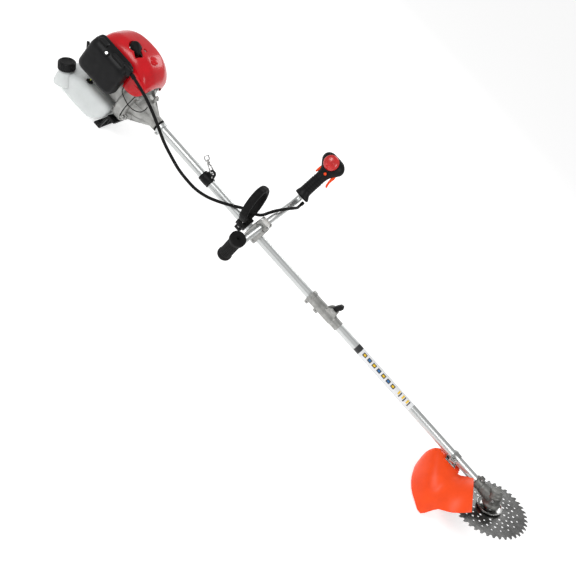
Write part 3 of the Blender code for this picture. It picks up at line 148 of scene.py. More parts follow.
def makeFinish(name, own):
    look = commonLook | own
    made = bpy.data.materials.new(name)
    made.use_nodes = True
    tree = made.node_tree
    shader = tree.nodes["Principled BSDF"]
    place = addNode(tree, "TexCoord").outputs["Object"]
    if "stretch" in look:
        place = addNode(tree, "Mapping", in0=place, Scale=look["stretch"]).outputs[0]
    mottle = addNode(
        tree, "TexNoise", Vector=place, Scale=look["mottle"], Detail=5.0, Roughness=0.6,
    )
    grain = addNode(tree, "TexNoise", Vector=place, Scale=look["grain"], Detail=3.0, Roughness=0.6)
    shade = addNode(tree, "MapRange", in0=mottle.outputs[0], in1=0.32, in2=0.68, in3=0.0, in4=1.0)
    tint = addNode(
        tree, "MixRGB", in0=shade.outputs[0], in1=(*look["colour"], 1), in2=(*look["other"], 1),
    )
    height = grain.outputs[0]
    if look.get("rings"):
        local = addNode(
            tree, "Mapping", {"vector_type": "TEXTURE"}, in0=place,
            Location=tuple(headPoint(0) + zAxis * shaftHeight), Rotation=(0, -gear["tilt"], 0),
        )
        rings = addNode(
            tree, "TexWave", {"wave_type": "RINGS", "rings_direction": "Z"},
            Vector=local.outputs[0], Scale=140.0, Distortion=1.2, Detail=3.0,
        )
        tint = addNode(tree, "MixRGB", {"blend_type": "MULTIPLY"}, in0=0.6, in1=tint.outputs[0],
                       in2=rings.outputs[0])
        height = rings.outputs["Fac"]
    rounded = addNode(tree, "Bevel", {"samples": 4}, Radius=0.0012)
    normal = addNode(tree, "NewGeometry").outputs["Normal"]
    match = addNode(
        tree, "VectorMath", {"operation": "DOT_PRODUCT"}, in0=rounded.outputs[0], in1=normal,
    )
    edge = addNode(
        tree, "MapRange", in0=match.outputs["Value"], in1=0.99, in2=0.82, in3=0.0, in4=look["wear"],
    )
    worn = addNode(
        tree, "Math", {"operation": "MULTIPLY"}, in0=edge.outputs[0], in1=shade.outputs[0],
    )
    final = addNode(
        tree, "MixRGB", in0=worn.outputs[0], in1=tint.outputs[0], in2=(*look["worn"], 1),
    )
    rough = addNode(
        tree, "MapRange", in0=grain.outputs[0], in1=0.25, in2=0.75,
        in3=look["roughness"] - look["spread"] / 2, in4=look["roughness"] + look["spread"] / 2,
    )
    bump = addNode(tree, "Bump", Strength=look["bump"], Distance=0.0004, Height=height)
    for source, name in ((final, "Base Color"), (rough, "Roughness"), (bump, "Normal")):
        tree.links.new(source.outputs[0], shader.inputs[name])
    values = {"Metallic": look["metallic"], "Specular IOR Level": look["shine"]}
    if "coat" in look:
        values |= {"Coat Weight": look["coat"], "Coat Roughness": 0.14}
    if "depth" in look:
        values |= {
            "Subsurface Weight": 0.35, "Subsurface Radius": (1.0, 1.0, 1.0),
            "Subsurface Scale": look["depth"],
        }
    for name, value in values.items():
        shader.inputs[name].default_value = value
    return made


# Shared tools
def axisFrame(origin, along):
    return Matrix.Translation(Vector(origin)) @ zAxis.rotation_difference(Vector(along)).to_matrix().to_4x4()


def pour(bm, part, place=None):
    bmesh.ops.recalc_face_normals(part, faces=part.faces)
    mesh = bpy.data.meshes.new("part")
    part.to_mesh(mesh)
    part.free()
    if place is not None:
        mesh.transform(place)
    bm.from_mesh(mesh)
    bpy.data.meshes.remove(mesh)


def softened(outline, cut):
    made = []
    count = len(outline)
    for number, point in enumerate(outline):
        here = Vector(point)
        before = Vector(outline[number - 1]) - here
        after = Vector(outline[(number + 1) % count]) - here
        room = min(cut, 0.4 * before.length, 0.4 * after.length)
        if room < 1e-5 or here.x == 0 and (before.x == 0 or after.x == 0):
            made.append(tuple(here))
            continue
        first = here + before.normalized() * room
        last = here + after.normalized() * room
        for share in (0.0, 0.35, 0.65, 1.0):
            made.append(tuple(first.lerp(here, share).lerp(here.lerp(last, share), share)))
    return made


def addTurned(bm, outline, origin, along, cut=0.001, steps=56, angle=2 * pi):
    part = bmesh.new()
    points = [part.verts.new((max(radius, 0), 0, height)) for radius, height in softened(outline, cut)]
    edges = [
        part.edges.new(pair) for pair in zip(points, points[1:] + points[:1])
        if pair[0].co.x > 0 or pair[1].co.x > 0
    ]
    bmesh.ops.spin(
        part, geom=points + edges, cent=(0, 0, 0), axis=(0, 0, 1), angle=angle, steps=steps,
        use_merge=angle > 6.28
    )
    bmesh.ops.remove_doubles(part, verts=part.verts, dist=1e-6)
    pour(bm, part, axisFrame(origin, along))


def addRod(bm, radius, start, end, cut=0.0006, steps=32):
    along = Vector(end) - Vector(start)
    addTurned(bm, [(0, 0), (radius, 0), (radius, along.length), (0, along.length)], start, along, cut, steps)


def addRing(bm, outer, inner, start, end, cut=0.0006, steps=56):
    along = Vector(end) - Vector(start)
    outline = [(inner, 0), (outer, 0), (outer, along.length), (inner, along.length)]
    addTurned(bm, outline, start, along, cut, steps)


def bevelAll(part, offset, segments=3):
    sharp = [edge for edge in part.edges if edge.is_manifold and edge.calc_face_angle(0) > 0.45]
    bmesh.ops.bevel(
        part, geom=sharp, offset=offset, segments=segments, profile=0.5, affect="EDGES", material=-1,
        clamp_overlap=True,
    )


def addBox(bm, low, high, edge=0.0012, place=None):
    low, high = Vector(low), Vector(high)
    part = bmesh.new()
    bmesh.ops.create_cube(
        part, size=1, matrix=Matrix.Translation((low + high) / 2) @ Matrix.Diagonal((*(high - low), 1)),
    )
    bevelAll(part, edge)
    pour(bm, part, place)


def addLug(bm, y, half, low, high, edge):
    addBox(bm, (low[0], y - half, low[1]), (high[0], y + half, high[1]), edge)


def addPlate(bm, outline, thickness, place, edge=0.0008):
    part = bmesh.new()
    face = part.faces.new([part.verts.new((x, y, -thickness / 2)) for x, y in outline])
    moved = bmesh.ops.extrude_face_region(part, geom=[face])
    top = [item for item in moved["geom"] if isinstance(item, bmesh.types.BMVert)]
    bmesh.ops.translate(part, verts=top, vec=(0, 0, thickness))
    bmesh.ops.recalc_face_normals(part, faces=part.faces)
    if edge:
        bevelAll(part, edge, 2)
    pour(bm, part, place)


def sidePlace(y):
    return Matrix(((1, 0, 0, 0), (0, 0, -1, y), (0, 1, 0, 0), (0, 0, 0, 1)))


def addBolt(bm, origin, along, radius=0.0042, height=0.0036):
    part = bmesh.new()
    bmesh.ops.create_cone(part, cap_ends=True, segments=6, radius1=radius, radius2=radius, depth=height)
    bmesh.ops.translate(part, verts=part.verts, vec=(0, 0, 0.0008 + height / 2))
    bevelAll(part, 0.0004, 2)
    pour(bm, part, axisFrame(origin, along))
    washer = [(0, 0), (radius * 1.35, 0), (radius * 1.35, 0.001), (0, 0.001)]
    addTurned(bm, washer, origin, along, 0.0003, 28)
    end = Vector(origin) + Vector(along).normalized() * (height + 0.0006)
    addTurned(bm, [(0, 0), (radius * 0.5, 0), (radius * 0.5, 0.0009), (0, 0.0009)], end, along, 0.0002, 20)


def addSocketScrew(bm, origin, along, radius=0.004, height=0.004):
    hollow = radius * 0.5
    outline = [
        (0, 0), (radius, 0), (radius, height), (hollow, height), (hollow, height * 0.5), (0, height * 0.5),
    ]
    addTurned(bm, outline, origin, along, 0.0004, 28)


def smoothRoute(points, spacing):
    route = [Vector(point) for point in points]
    ends = [2 * route[0] - route[1]] + route + [2 * route[-1] - route[-2]]
    fine = []
    for before, start, stop, after in zip(ends, ends[1:], ends[2:], ends[3:]):
        steps = max(2, round((stop - start).length / spacing))
        for step in range(steps):
            t = step / steps
            bend = (3 * start - before - 3 * stop + after) * t**3
            fine.append(
                0.5 * (
                    2 * start + (stop - before) * t + (
                        2 * before - 5 * start + 4 * stop - after
                    ) * t**2 + bend
                )
            )
    return fine + [route[-1]]


def addTube(bm, route, radius, resolution=6, closed=False):
    curve = bpy.data.curves.new("tube", "CURVE")
    curve.dimensions = "3D"
    curve.bevel_depth = radius
    curve.bevel_resolution = resolution
    curve.use_fill_caps = True
    spline = curve.splines.new("POLY")
    spline.points.add(len(route) - 1)
    spline.use_cyclic_u = closed
    for point, spot in zip(spline.points, route):
        point.co = (*spot, 1)
    holder = bpy.data.objects.new("tube", curve)
    bpy.context.collection.objects.link(holder)
    bpy.context.view_layer.update()
    mesh = bpy.data.meshes.new_from_object(holder.evaluated_get(bpy.context.evaluated_depsgraph_get()))
    bpy.data.objects.remove(holder)
    bm.from_mesh(mesh)


def addLoft(bm, rings, caps=True):
    part = bmesh.new()
    loops = []
    for ring in rings:
        verts = [part.verts.new(point) for point in ring]
        loops.append([part.edges.new(pair) for pair in zip(verts, verts[1:] + verts[:1])])
        if caps and (ring is rings[0] or ring is rings[-1]):
            part.faces.new(verts)
    for first, second in zip(loops, loops[1:]):
        bmesh.ops.bridge_loops(part, edges=first + second)
    pour(bm, part)


def roundedSection(left, right, low, high, corner):
    return [
        (
            side + corner * cos(radians(start + step * 22.5)),
            level + corner * sin(radians(start + step * 22.5)),
        )
        for side, level, start in (
            (right - corner, high - corner, 0), (left + corner, high - corner, 90),
            (left + corner, low + corner, 180), (right - corner, low + corner, 270),
        )
        for step in range(5)
    ]


def meshObject(name, bm):
    bmesh.ops.remove_doubles(bm, verts=bm.verts, dist=1e-6)
    bmesh.ops.recalc_face_normals(bm, faces=bm.faces)
    mesh = bpy.data.meshes.new(name)
    bm.to_mesh(mesh)
    bm.free()
    made = bpy.data.objects.new(name, mesh)
    bpy.context.collection.objects.link(made)
    return made


def taken(piece, bm=None):
    bm = bm or bmesh.new()
    bm.from_mesh(piece.data)
    bpy.data.objects.remove(piece)
    return bm


def baked(piece):
    bpy.context.view_layer.update()
    mesh = bpy.data.meshes.new_from_object(piece.evaluated_get(bpy.context.evaluated_depsgraph_get()))
    piece.modifiers.clear()
    piece.data = mesh
    return piece


def smoothed(piece, levels=2):
    step = piece.modifiers.new("smooth", "SUBSURF")
    step.levels = levels
    step.render_levels = levels
    return baked(piece)


def walled(piece, thickness, offset=-1):
    step = piece.modifiers.new("wall", "SOLIDIFY")
    step.thickness = thickness
    step.offset = offset
    step.use_even_offset = True
    return baked(piece)


def cut(piece, bm):
    tool = meshObject("tool", bm)
    step = piece.modifiers.new("cut", "BOOLEAN")
    step.operation = "DIFFERENCE"
    step.object = tool
    baked(piece)
    bpy.data.objects.remove(tool)


def carve(piece, shape, *values):
    tool = bmesh.new()
    shape(tool, *values)
    cut(piece, tool)


def edged(piece, width=0.0006, segments=2, limit=38):
    step = piece.modifiers.new("edges", "BEVEL")
    step.width = width
    step.segments = segments
    step.limit_method = "ANGLE"
    step.angle_limit = radians(limit)
    step.use_clamp_overlap = True
    return baked(piece)


def settle(piece, finish, body="main_frame", nodes=(), angle=40):
    piece.data.transform(Matrix.Translation((0, 0, shaftHeight)))
    piece.data.materials.clear()
    piece.data.materials.append(finishes[finish])
    piece.data.shade_smooth()
    piece.data.set_sharp_from_angle(angle=radians(angle))
    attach(piece, body)
    if nodes:
        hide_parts(*nodes)
    return piece


def make(name, bm, finish, body="main_frame", nodes=(), angle=40):
    return settle(meshObject(name, bm), finish, body, nodes, angle)


def makeNode(node, bm, body="main_frame", angle=40):
    return settle(meshObject(node + "_fine", bm), slotFinish[nodeSlots[node]], body, (node,), angle)


def refined(node, finish, body="main_frame", width=0.0007):
    bm = bmesh.new()
    bm.from_mesh(frame["nodes"][node].data)
    piece = meshObject(node + "_fine", bm)
    piece.data.transform(Matrix.Translation((0, 0, -shaftHeight)))
    edged(piece, width)
    return settle(piece, finish, body, (node,))


# Gear head frame, shared by the blade's finish
gear = dict(tilt=radians(27), centre=Vector((1.705, 0, -0.032)))
gearAxis = Vector((-sin(gear["tilt"]), 0, cos(gear["tilt"])))


def headPoint(height):
    return gear["centre"] + gearAxis * height


finishes = {name: makeFinish(name, look) for name, look in finishValues.items()}
print("finishes made")


# Engine hood
hood = dict(
    floor=0.045, offset=0.004,
    stations=(
        (-0.155, 0.1, 0.06, 0.03), (-0.14, 0.122, 0.072, 0.036), (-0.105, 0.146, 0.079, 0.042),
        (-0.045, 0.15, 0.081, 0.044), (-0.004, 0.148, 0.08, 0.04), (0.03, 0.13, 0.076, 0.034),
        (0.05, 0.106, 0.066, 0.028), (0.058, 0.09, 0.054, 0.022),
    ),
    bolt=Vector((-0.036, -0.012, 0.149)), fanCut=0.0812,
)


def capPoint(distance):
    return Vector((-0.06, -0.004, 0.1072)) + Vector((0, -0.6, 0.8)) * distance


def hoodRing(x, top, side, crown):
    floor = hood["floor"] - 0.02
    shoulder = hood["floor"] + 0.45 * (top - hood["floor"])
    slope = (0.86 * side + 0.14 * crown, 0.35 * shoulder + 0.65 * top)
    half = [
        (side, floor), (side + 0.001, 0.5 * (floor + shoulder)), (side, shoulder),
        (side - 0.0015, shoulder + 0.006), slope,
        (crown + 0.004, top - 0.002), (crown - 0.004, top + 0.001),
    ]
    near = [(x, y + hood["offset"], z) for y, z in half]
    far = [(x, -y + hood["offset"], z) for y, z in reversed(half)]
    return near + [(x, hood["offset"], top + 0.002)] + far


def makeHood():
    bm = bmesh.new()
    stations = hood["stations"]
    addLoft(bm, [hoodRing(*station) for station in stations])
    piece = smoothed(meshObject("engine_hood", bm), 2)
    inner = bmesh.new()
    addLoft(inner, [
        hoodRing(x + (0.003 if x < -0.15 else 0), top - 0.0028, side - 0.0028, crown - 0.0028)
        for x, top, side, crown in stations
    ])
    tool = taken(smoothed(meshObject("inside", inner), 2))
    bmesh.ops.translate(tool, verts=tool.verts, vec=(0, 0, -0.0005))
    cut(piece, tool)
    for low, high, edge in (
        ((-0.2, -0.12, -0.02), (0.2, 0.12, hood["floor"] - 0.004), 0.0005),
        ((-0.18, -0.11, 0.02), (-0.004, -0.05, 0.1005), 0.004),
        ((-0.115, 0.05, 0.02), (-0.005, 0.11, 0.08), 0.004),
        ((-0.18, -0.1, 0.02), (-0.14, 0.1, 0.07), 0.004),
    ):
        carve(piece, addBox, low, high, edge)
    for start, end, radius in (
        (Vector((-0.002, 0, 0)), Vector((0.08, 0, 0)), hood["fanCut"]),
        (capPoint(-0.02), capPoint(0.07), 0.0205),
        (capPoint(0.044), capPoint(0.044) + Vector((0.036, -0.021, 0.0)), 0.0125),
    ):
        carve(piece, addRod, radius, start, end, 0.0002, 56)
    carve(
        piece, addRod, 0.0068, hood["bolt"] + Vector((0, -0.002, -0.02)), hood["bolt"] + Vector((0, 0, 0.02)),
        0.0001, 32,
    )
    settle(edged(piece, 0.0008, 2, 50), "redPlastic", nodes=("engine_cover",), angle=50)
    trim = bmesh.new()
    outline = [
        (0, -0.006), (0.0067, -0.006), (0.0067, -0.0005), (0.0058, -0.0005), (0.0058, -0.005), (0, -0.005),
    ]
    addTurned(trim, outline, hood["bolt"], zAxis, 0.0003, 32)
    make("hood_bolt_well", trim, "redPlastic")
    bolt = bmesh.new()
    addSocketScrew(bolt, hood["bolt"] + Vector((0, 0, -0.0049)), zAxis, 0.0042, 0.0034)
    make("hood_bolt", bolt, "zincSteel")
    tongue = bmesh.new()
    outline = [(-0.018, 0.074), (0.046, 0.078), (0.041, 0.062), (0.026, 0.05), (0.004, 0.045), (-0.01, 0.056)]
    addPlate(tongue, outline, 0.003, sidePlace(-0.0715), 0.0013)
    bump = [(0, -0.004), (0.016, -0.004), (0.0145, 0.0015), (0.009, 0.0045), (0, 0.0055)]
    addTurned(tongue, bump, (0.002, -0.006, 0.146), (0.1, -0.05, 1), 0.004, 40)
    make("hood_trim", tongue, "redPlastic")


# Cap of the spark plug: a drop standing on a skirt
plugCap = dict(
    drop=(
        (0, -0.018), (0.0075, -0.0165), (0.013, -0.0115), (0.0162, -0.004), (0.0165, 0.003), (0.0145, 0.011),
        (0.0108, 0.019), (0.0072, 0.026), (0.005, 0.031), (0.0032, 0.033), (0, 0.0334),
    ),
    skirt=((0.0053, 0.0105), (0.012, 0.0105), (0.015, 0.026), (0.0152, 0.042), (0.0053, 0.043)),
    height=0.046, nose=(0.9, -0.52, 0.0),
)


def makePlugCap():
    bm = bmesh.new()
    addTurned(bm, plugCap["drop"], capPoint(plugCap["height"]), plugCap["nose"], 0.004, 48)
    addTurned(bm, plugCap["skirt"], capPoint(0), (0, -0.6, 0.8), 0.0015, 40)
    make("plug_cap", bm, "blackRubber", nodes=("spark_plug_cap",), angle=60)


# Air filter
airFilter = dict(left=-0.146, right=-0.004, low=0.004, screw=Vector((-0.084, -0.1215, 0.109)))


def filterRing(y, grow, top):
    left, right = airFilter["left"] - grow, airFilter["right"] + grow
    low, high = airFilter["low"] - grow, top + grow
    return [(x, y, z) for x, z in roundedSection(left, right, low, high, 0.02)]


def makeFilterCover():
    bm = bmesh.new()
    rings = [
        filterRing(-0.0865, 0.0, 0.128), filterRing(-0.09, 0.0, 0.1275), filterRing(-0.106, -0.0005, 0.121),
        filterRing(-0.116, -0.002, 0.1165), filterRing(-0.1225, -0.006, 0.1135),
        filterRing(-0.1262, -0.011, 0.1125),
        filterRing(-0.1278, -0.018, 0.112),
    ]
    addLoft(bm, rings)
    piece = meshObject("filter_cover_fine", bm)
    carve(
        piece, addLoft,
        [
            filterRing(-0.08, -0.0025, 0.1285), filterRing(-0.106, -0.003, 0.1205),
            filterRing(-0.124, -0.013, 0.1115),
        ],
    )
    edged(piece, 0.0012, 3, 40)
    settle(piece, "blackPlastic", nodes=("filter_cover",), angle=55)
    bm = bmesh.new()
    addBox(bm, (-0.132, -0.115, 0.098), (-0.098, -0.09, 0.1245), 0.004)
    addBox(bm, (-0.072, -0.1175, 0.094), (-0.02, -0.09, 0.1215), 0.004)
    addBox(bm, (-0.034, -0.111, 0.1), (0.004, -0.0925, 0.1245), 0.006)
    addBox(bm, (-0.145, -0.106, 0.086), (-0.128, -0.09, 0.113), 0.004)
    boss = [(0, -0.014), (0.01, -0.014), (0.0088, 0.0045), (0.006, 0.005), (0.0052, 0.0016), (0, 0.0016)]
    addTurned(bm, boss, airFilter["screw"], (0, -0.74, 0.67), 0.0008, 40)
    for x in (-0.122, -0.106):
        addBox(bm, (x - 0.002, -0.1275, 0.03), (x + 0.002, -0.1235, 0.092), 0.0015)
    make("filter_cover_ribs", bm, "blackPlastic")
    screw = bmesh.new()
    addSocketScrew(
        screw, airFilter["screw"] + Vector((0, -0.74, 0.67)) * 0.0016, (0, -0.74, 0.67), 0.0046, 0.004,
    )
    makeNode("filter_screw", screw)
    hollow = bmesh.new()
    for low, high in (
        ((-0.128, -0.1157, 0.1035), (-0.102, -0.114, 0.1205)),
        ((-0.067, -0.1182, 0.0995), (-0.026, -0.1165, 0.117)),
    ):
        addBox(hollow, low, high, 0.0008)
    make("filter_pockets", hollow, "blackRubber")
    for node in ("filter_base", "carburetor", "choke_lever"):
        refined(node, slotFinish[nodeSlots[node]], "choke" if node == "choke_lever" else "main_frame")


# Fan and clutch housings
housing = dict(lugs=((0.3, 0.95), (-0.75, 0.62), (0.95, -0.25), (-0.8, -0.56), (0.25, -0.96)))


def makeHousings():
    bm = bmesh.new()
    outline = [
        (0.012, 0.005), (0.06, 0.005), (0.0685, 0.0078), (0.0755, 0.012), (0.08, 0.0175), (0.08, 0.0422),
        (0.076, 0.0422), (0.076, 0.019), (0.058, 0.009), (0.012, 0.009),
    ]
    addTurned(bm, outline, (0, 0, 0), xAxis, 0.0016, 72)
    for number in range(9):
        turn = radians(200 + number * 17)
        radial = Matrix.Rotation(turn, 4, "X")
        addBox(bm, (0.0085, 0.066, -0.0012), (0.0405, 0.0806, 0.0012), 0.0006, radial)
    makeNode("fan_housing", bm)
    bm = bmesh.new()
    outline = [
        (0.0385, 0.0425), (0.074, 0.0425), (0.074, 0.048), (0.056, 0.05), (0.05, 0.056), (0.047, 0.072),
        (0.029, 0.105), (0.0215, 0.117), (0.0215, 0.1352), (snug, 0.1352), (snug, 0.1022), (0.0095, 0.1022),
        (0.0095, 0.096), (0.018, 0.094), (0.0385, 0.068),
    ]
    addTurned(bm, outline, (0, 0, 0), xAxis, 0.0016, 72)
    for number in range(8):
        turn = Matrix.Rotation(radians(22.5 + number * 45), 4, "X")
        rib = [(0.048, 0.046), (0.048, 0.064), (0.074, 0.0495), (0.116, 0.023), (0.116, 0.019), (0.06, 0.04)]
        addPlate(bm, rib, 0.003, turn, 0.0008)
    for y, z in housing["lugs"]:
        spot = Vector((0.0425, y * 0.0725, z * 0.0725))
        addRod(bm, 0.0075, spot, spot + xAxis * 0.012, 0.0012, 32)
    addBox(bm, (0.0735, -0.006, 0.044), (0.0835, 0.006, 0.066), 0.002)
    addBox(bm, (0.05, -0.05, -0.034), (0.068, -0.038, -0.022), 0.002)
    makeNode("clutch_housing", bm)
    bolts = bmesh.new()
    for y, z in housing["lugs"]:
        addBolt(bolts, (0.0545, y * 0.0725, z * 0.0725), xAxis, 0.004, 0.0036)
    addBolt(bolts, (0.0835, 0, 0.059), xAxis, 0.0034, 0.003)
    addBolt(bolts, (0.059, -0.044, -0.034), -zAxis, 0.0034, 0.003)
    make("housing_bolts", bolts, "zincSteel")
    # Painted shade: an oval plate in the darker dark-cast finish laid on the clutch housing, standing for the
    # shade in the recess there
    paintedShadePlate = bmesh.new()
    place = Matrix.Rotation(radians(-68), 4, "X")
    oval = [(0.06 + 0.0125 * cos(a * pi / 14), 0.022 * sin(a * pi / 14)) for a in range(28)]
    lift = place @ Matrix.Translation((0.0, 0.0, 0.0486)) @ Matrix.Rotation(radians(9), 4, "Y")
    addPlate(paintedShadePlate, oval, 0.004, lift, 0.001)
    make("housing_window_painted_shade", paintedShadePlate, "darkCast")
    for node in ("crankcase", "cylinder", "starter_housing", "muffler", "muffler_guard"):
        refined(node, slotFinish[nodeSlots[node]], width=0.001)
    refined("starter_handle", "blackPlastic", "starter_pull")


# Fuel tank and its stand
tank = dict(
    rings=(
        (-0.198, 0.04, -0.086, -0.116), (-0.195, 0.048, -0.081, -0.124), (-0.186, 0.06, -0.076, -0.133),
        (-0.168, 0.068, -0.072, -0.139), (-0.15, 0.072, -0.067, -0.14), (-0.13, 0.074, -0.056, -0.14),
        (-0.112, 0.075, -0.047, -0.14), (-0.08, 0.075, -0.046, -0.14), (-0.045, 0.075, -0.046, -0.1395),
        (-0.026, 0.073, -0.046, -0.134), (-0.01, 0.067, -0.049, -0.12), (0.0, 0.058, -0.056, -0.108),
        (0.004, 0.048, -0.064, -0.098),
    ),
    neck=Vector((-0.186, -0.058, -0.068)), lean=Vector((-0.42, -0.2, 0.885)).normalized(),
)


def tankRing(x, width, top, low):
    corner = min(0.02, 0.46 * (top - low))
    return [(x, y, z) for y, z in roundedSection(-width, width, low, top, corner)]


def makeTank():
    bm = bmesh.new()
    addLoft(bm, [tankRing(*ring) for ring in tank["rings"]])
    neck = [
        (0, -0.056), (0.04, -0.056), (0.0352, -0.04), (0.029, -0.026), (0.0235, -0.016), (0.0186, -0.011),
        (0.0186, 0.0), (0, 0.0),
    ]
    shell = taken(smoothed(meshObject("tank_shell", bm), 1))
    addTurned(shell, neck, tank["neck"], tank["lean"], 0.004, 56)
    makeNode("fuel_tank", shell, angle=70)
    cap = bmesh.new()
    outline = [
        (0.0, 0.0003), (0.019, 0.0003), (0.019, -0.0095), (0.0258, -0.0095), (0.0268, 0.0135),
        (0.0238, 0.017),
        (0.018, 0.0172), (0.017, 0.0152), (0.0, 0.0158),
    ]
    addTurned(cap, outline, tank["neck"], tank["lean"], 0.0012, 64)
    place = axisFrame(tank["neck"], tank["lean"])
    for number in range(24):
        turn = Matrix.Rotation(number * pi / 12, 4, "Z")
        addBox(cap, (0.025, -0.0014, -0.0085), (0.0277, 0.0014, 0.014), 0.0006, place @ turn)
    makeNode("fuel_cap", cap, "tank_cap")
    bm = bmesh.new()
    outline = [
        (0.0024, 0.0003), (0.011, 0.0003), (0.011, 0.0025), (0.007, 0.003), (0.0062, 0.007), (0.0024, 0.007),
    ]
    addTurned(bm, outline, (-0.1, -0.056, -0.046), zAxis, 0.0006, 40)
    makeNode("tank_grommet", bm)
    bm = bmesh.new()
    route = [(-0.1, -0.056, -0.045), (-0.1, -0.056, -0.03), (-0.097, -0.054, -0.01), (-0.084, -0.052, 0.012),
             (-0.07, -0.056, 0.03), (-0.068, -0.056, 0.0393)]
    addTube(bm, smoothRoute(route, 0.004), 0.0021, 5)
    makeNode("fuel_line", bm)
    bm = bmesh.new()
    outline = [
        (0.008, -0.0803), (0.04, -0.0803), (0.04, -0.0873), (0.017, -0.0903), (0.013, -0.0963),
        (0.01, -0.129),
        (0.012, -0.14), (-0.014, -0.14), (-0.014, -0.1335), (0.001, -0.131), (0.005, -0.124),
        (0.008, -0.0943),
    ]
    for low, high in ((-0.052, -0.04), (0.04, 0.052)):
        addPlate(bm, outline, high - low, sidePlace((low + high) / 2), 0.001)
    addBox(bm, (0.0085, -0.041, -0.0905), (0.0395, 0.041, -0.0803), 0.0012)
    addBox(bm, (-0.0138, -0.041, -0.14), (0.0115, 0.041, -0.133), 0.0012)
    for y in (-0.02, 0.02):
        addBox(bm, (0.008, y - 0.0016, -0.131), (0.013, y + 0.0016, -0.089), 0.0006)
    makeNode("tank_stand", bm)


# Ring and collar at the end of the cone
def makeCollar():
    bm = bmesh.new()
    addRing(bm, 0.0208, snug, (0.1356, 0, 0), (0.1406, 0, 0), 0.0012)
    makeNode("vibration_ring", bm)
    bm = bmesh.new()
    addRing(bm, 0.0192, snug, (0.141, 0, 0), (0.154, 0, 0), 0.0014)
    for y in (-0.0032, 0.0032):
        addBox(bm, (0.142, y - 0.0022, -0.0275), (0.153, y + 0.0022, -0.016), 0.001)
    makeNode("tube_collar", bm)
    bm = bmesh.new()
    addSocketScrew(bm, (0.1475, -0.0054, -0.0225), -yAxis, 0.0032, 0.0035)
    addBolt(bm, (0.1475, 0.0054, -0.0225), yAxis, 0.0032, 0.0026)
    make("collar_screw", bm, "zincSteel")


# Tubes and the label on the lower one
tubes = dict(radius=0.014, bore=0.0125, upper=(0.1025, 0.89), lower=(0.8908, 1.64), label=(1.054, 1.307))


def addSleeve(bm, start, end, radius, low, high, thick=0.00012):
    part = bmesh.new()
    corners = [(radius, start), (radius + thick, start), (radius + thick, end), (radius, end)]
    verts = [part.verts.new((x, r * cos(low), r * sin(low))) for r, x in corners]
    face = part.faces.new(verts)
    bmesh.ops.spin(part, geom=[face], cent=(0, 0, 0), axis=(1, 0, 0), angle=high - low, steps=24)
    pour(bm, part)


def makeTubes():
    for name, span, body in (
        ("upper_tube", tubes["upper"], "main_frame"), ("lower_tube", tubes["lower"], "lower_unit"),
    ):
        bm = bmesh.new()
        addRing(bm, tubes["radius"], tubes["bore"], (span[0], 0, 0), (span[1], 0, 0), 0.0004, 72)
        make(name + "_fine", bm, "drawnTube", body, (name,))
    start, end = tubes["label"]
    facing = radians(140)
    white, black, yellow, blue = (bmesh.new() for _ in range(4))
    addSleeve(white, start, end, 0.01402, facing - 1.15, facing + 1.15)
    addSleeve(black, start, start + 0.02, 0.01416, facing - 1.15, facing + 1.15)
    for number in range(7):
        x = start + 0.03 + number * 0.0215
        addSleeve(black, x, x + 0.0145, 0.01416, facing - 0.42, facing + 0.42)
        addSleeve((yellow, blue)[number % 2], x + 0.003, x + 0.0115, 0.0143, facing - 0.22, facing + 0.22)
    for number in range(3):
        x = start + 0.19 + number * 0.019
        addSleeve(yellow, x, x + 0.006, 0.01416, facing - 0.6, facing + 0.3)
        addSleeve(black, x + 0.008, x + 0.012, 0.01416, facing - 0.6, facing + 0.6)
    for name, part, finish in (
        ("label_base", white, "labelWhite"), ("label_marks", black, "labelBlack"),
        ("label_patches", yellow, "labelYellow"), ("label_panels", blue, "labelBlue"),
    ):
        make(name, part, finish, "lower_unit")


# Hanger, hook and strap ring
hanger = dict(x=0.36, lean=Vector((-0.9, 0, 0.43)).normalized())


def hookPoint(distance, side=0.0):
    return Vector((0.361, side, 0.03)) + hanger["lean"] * distance


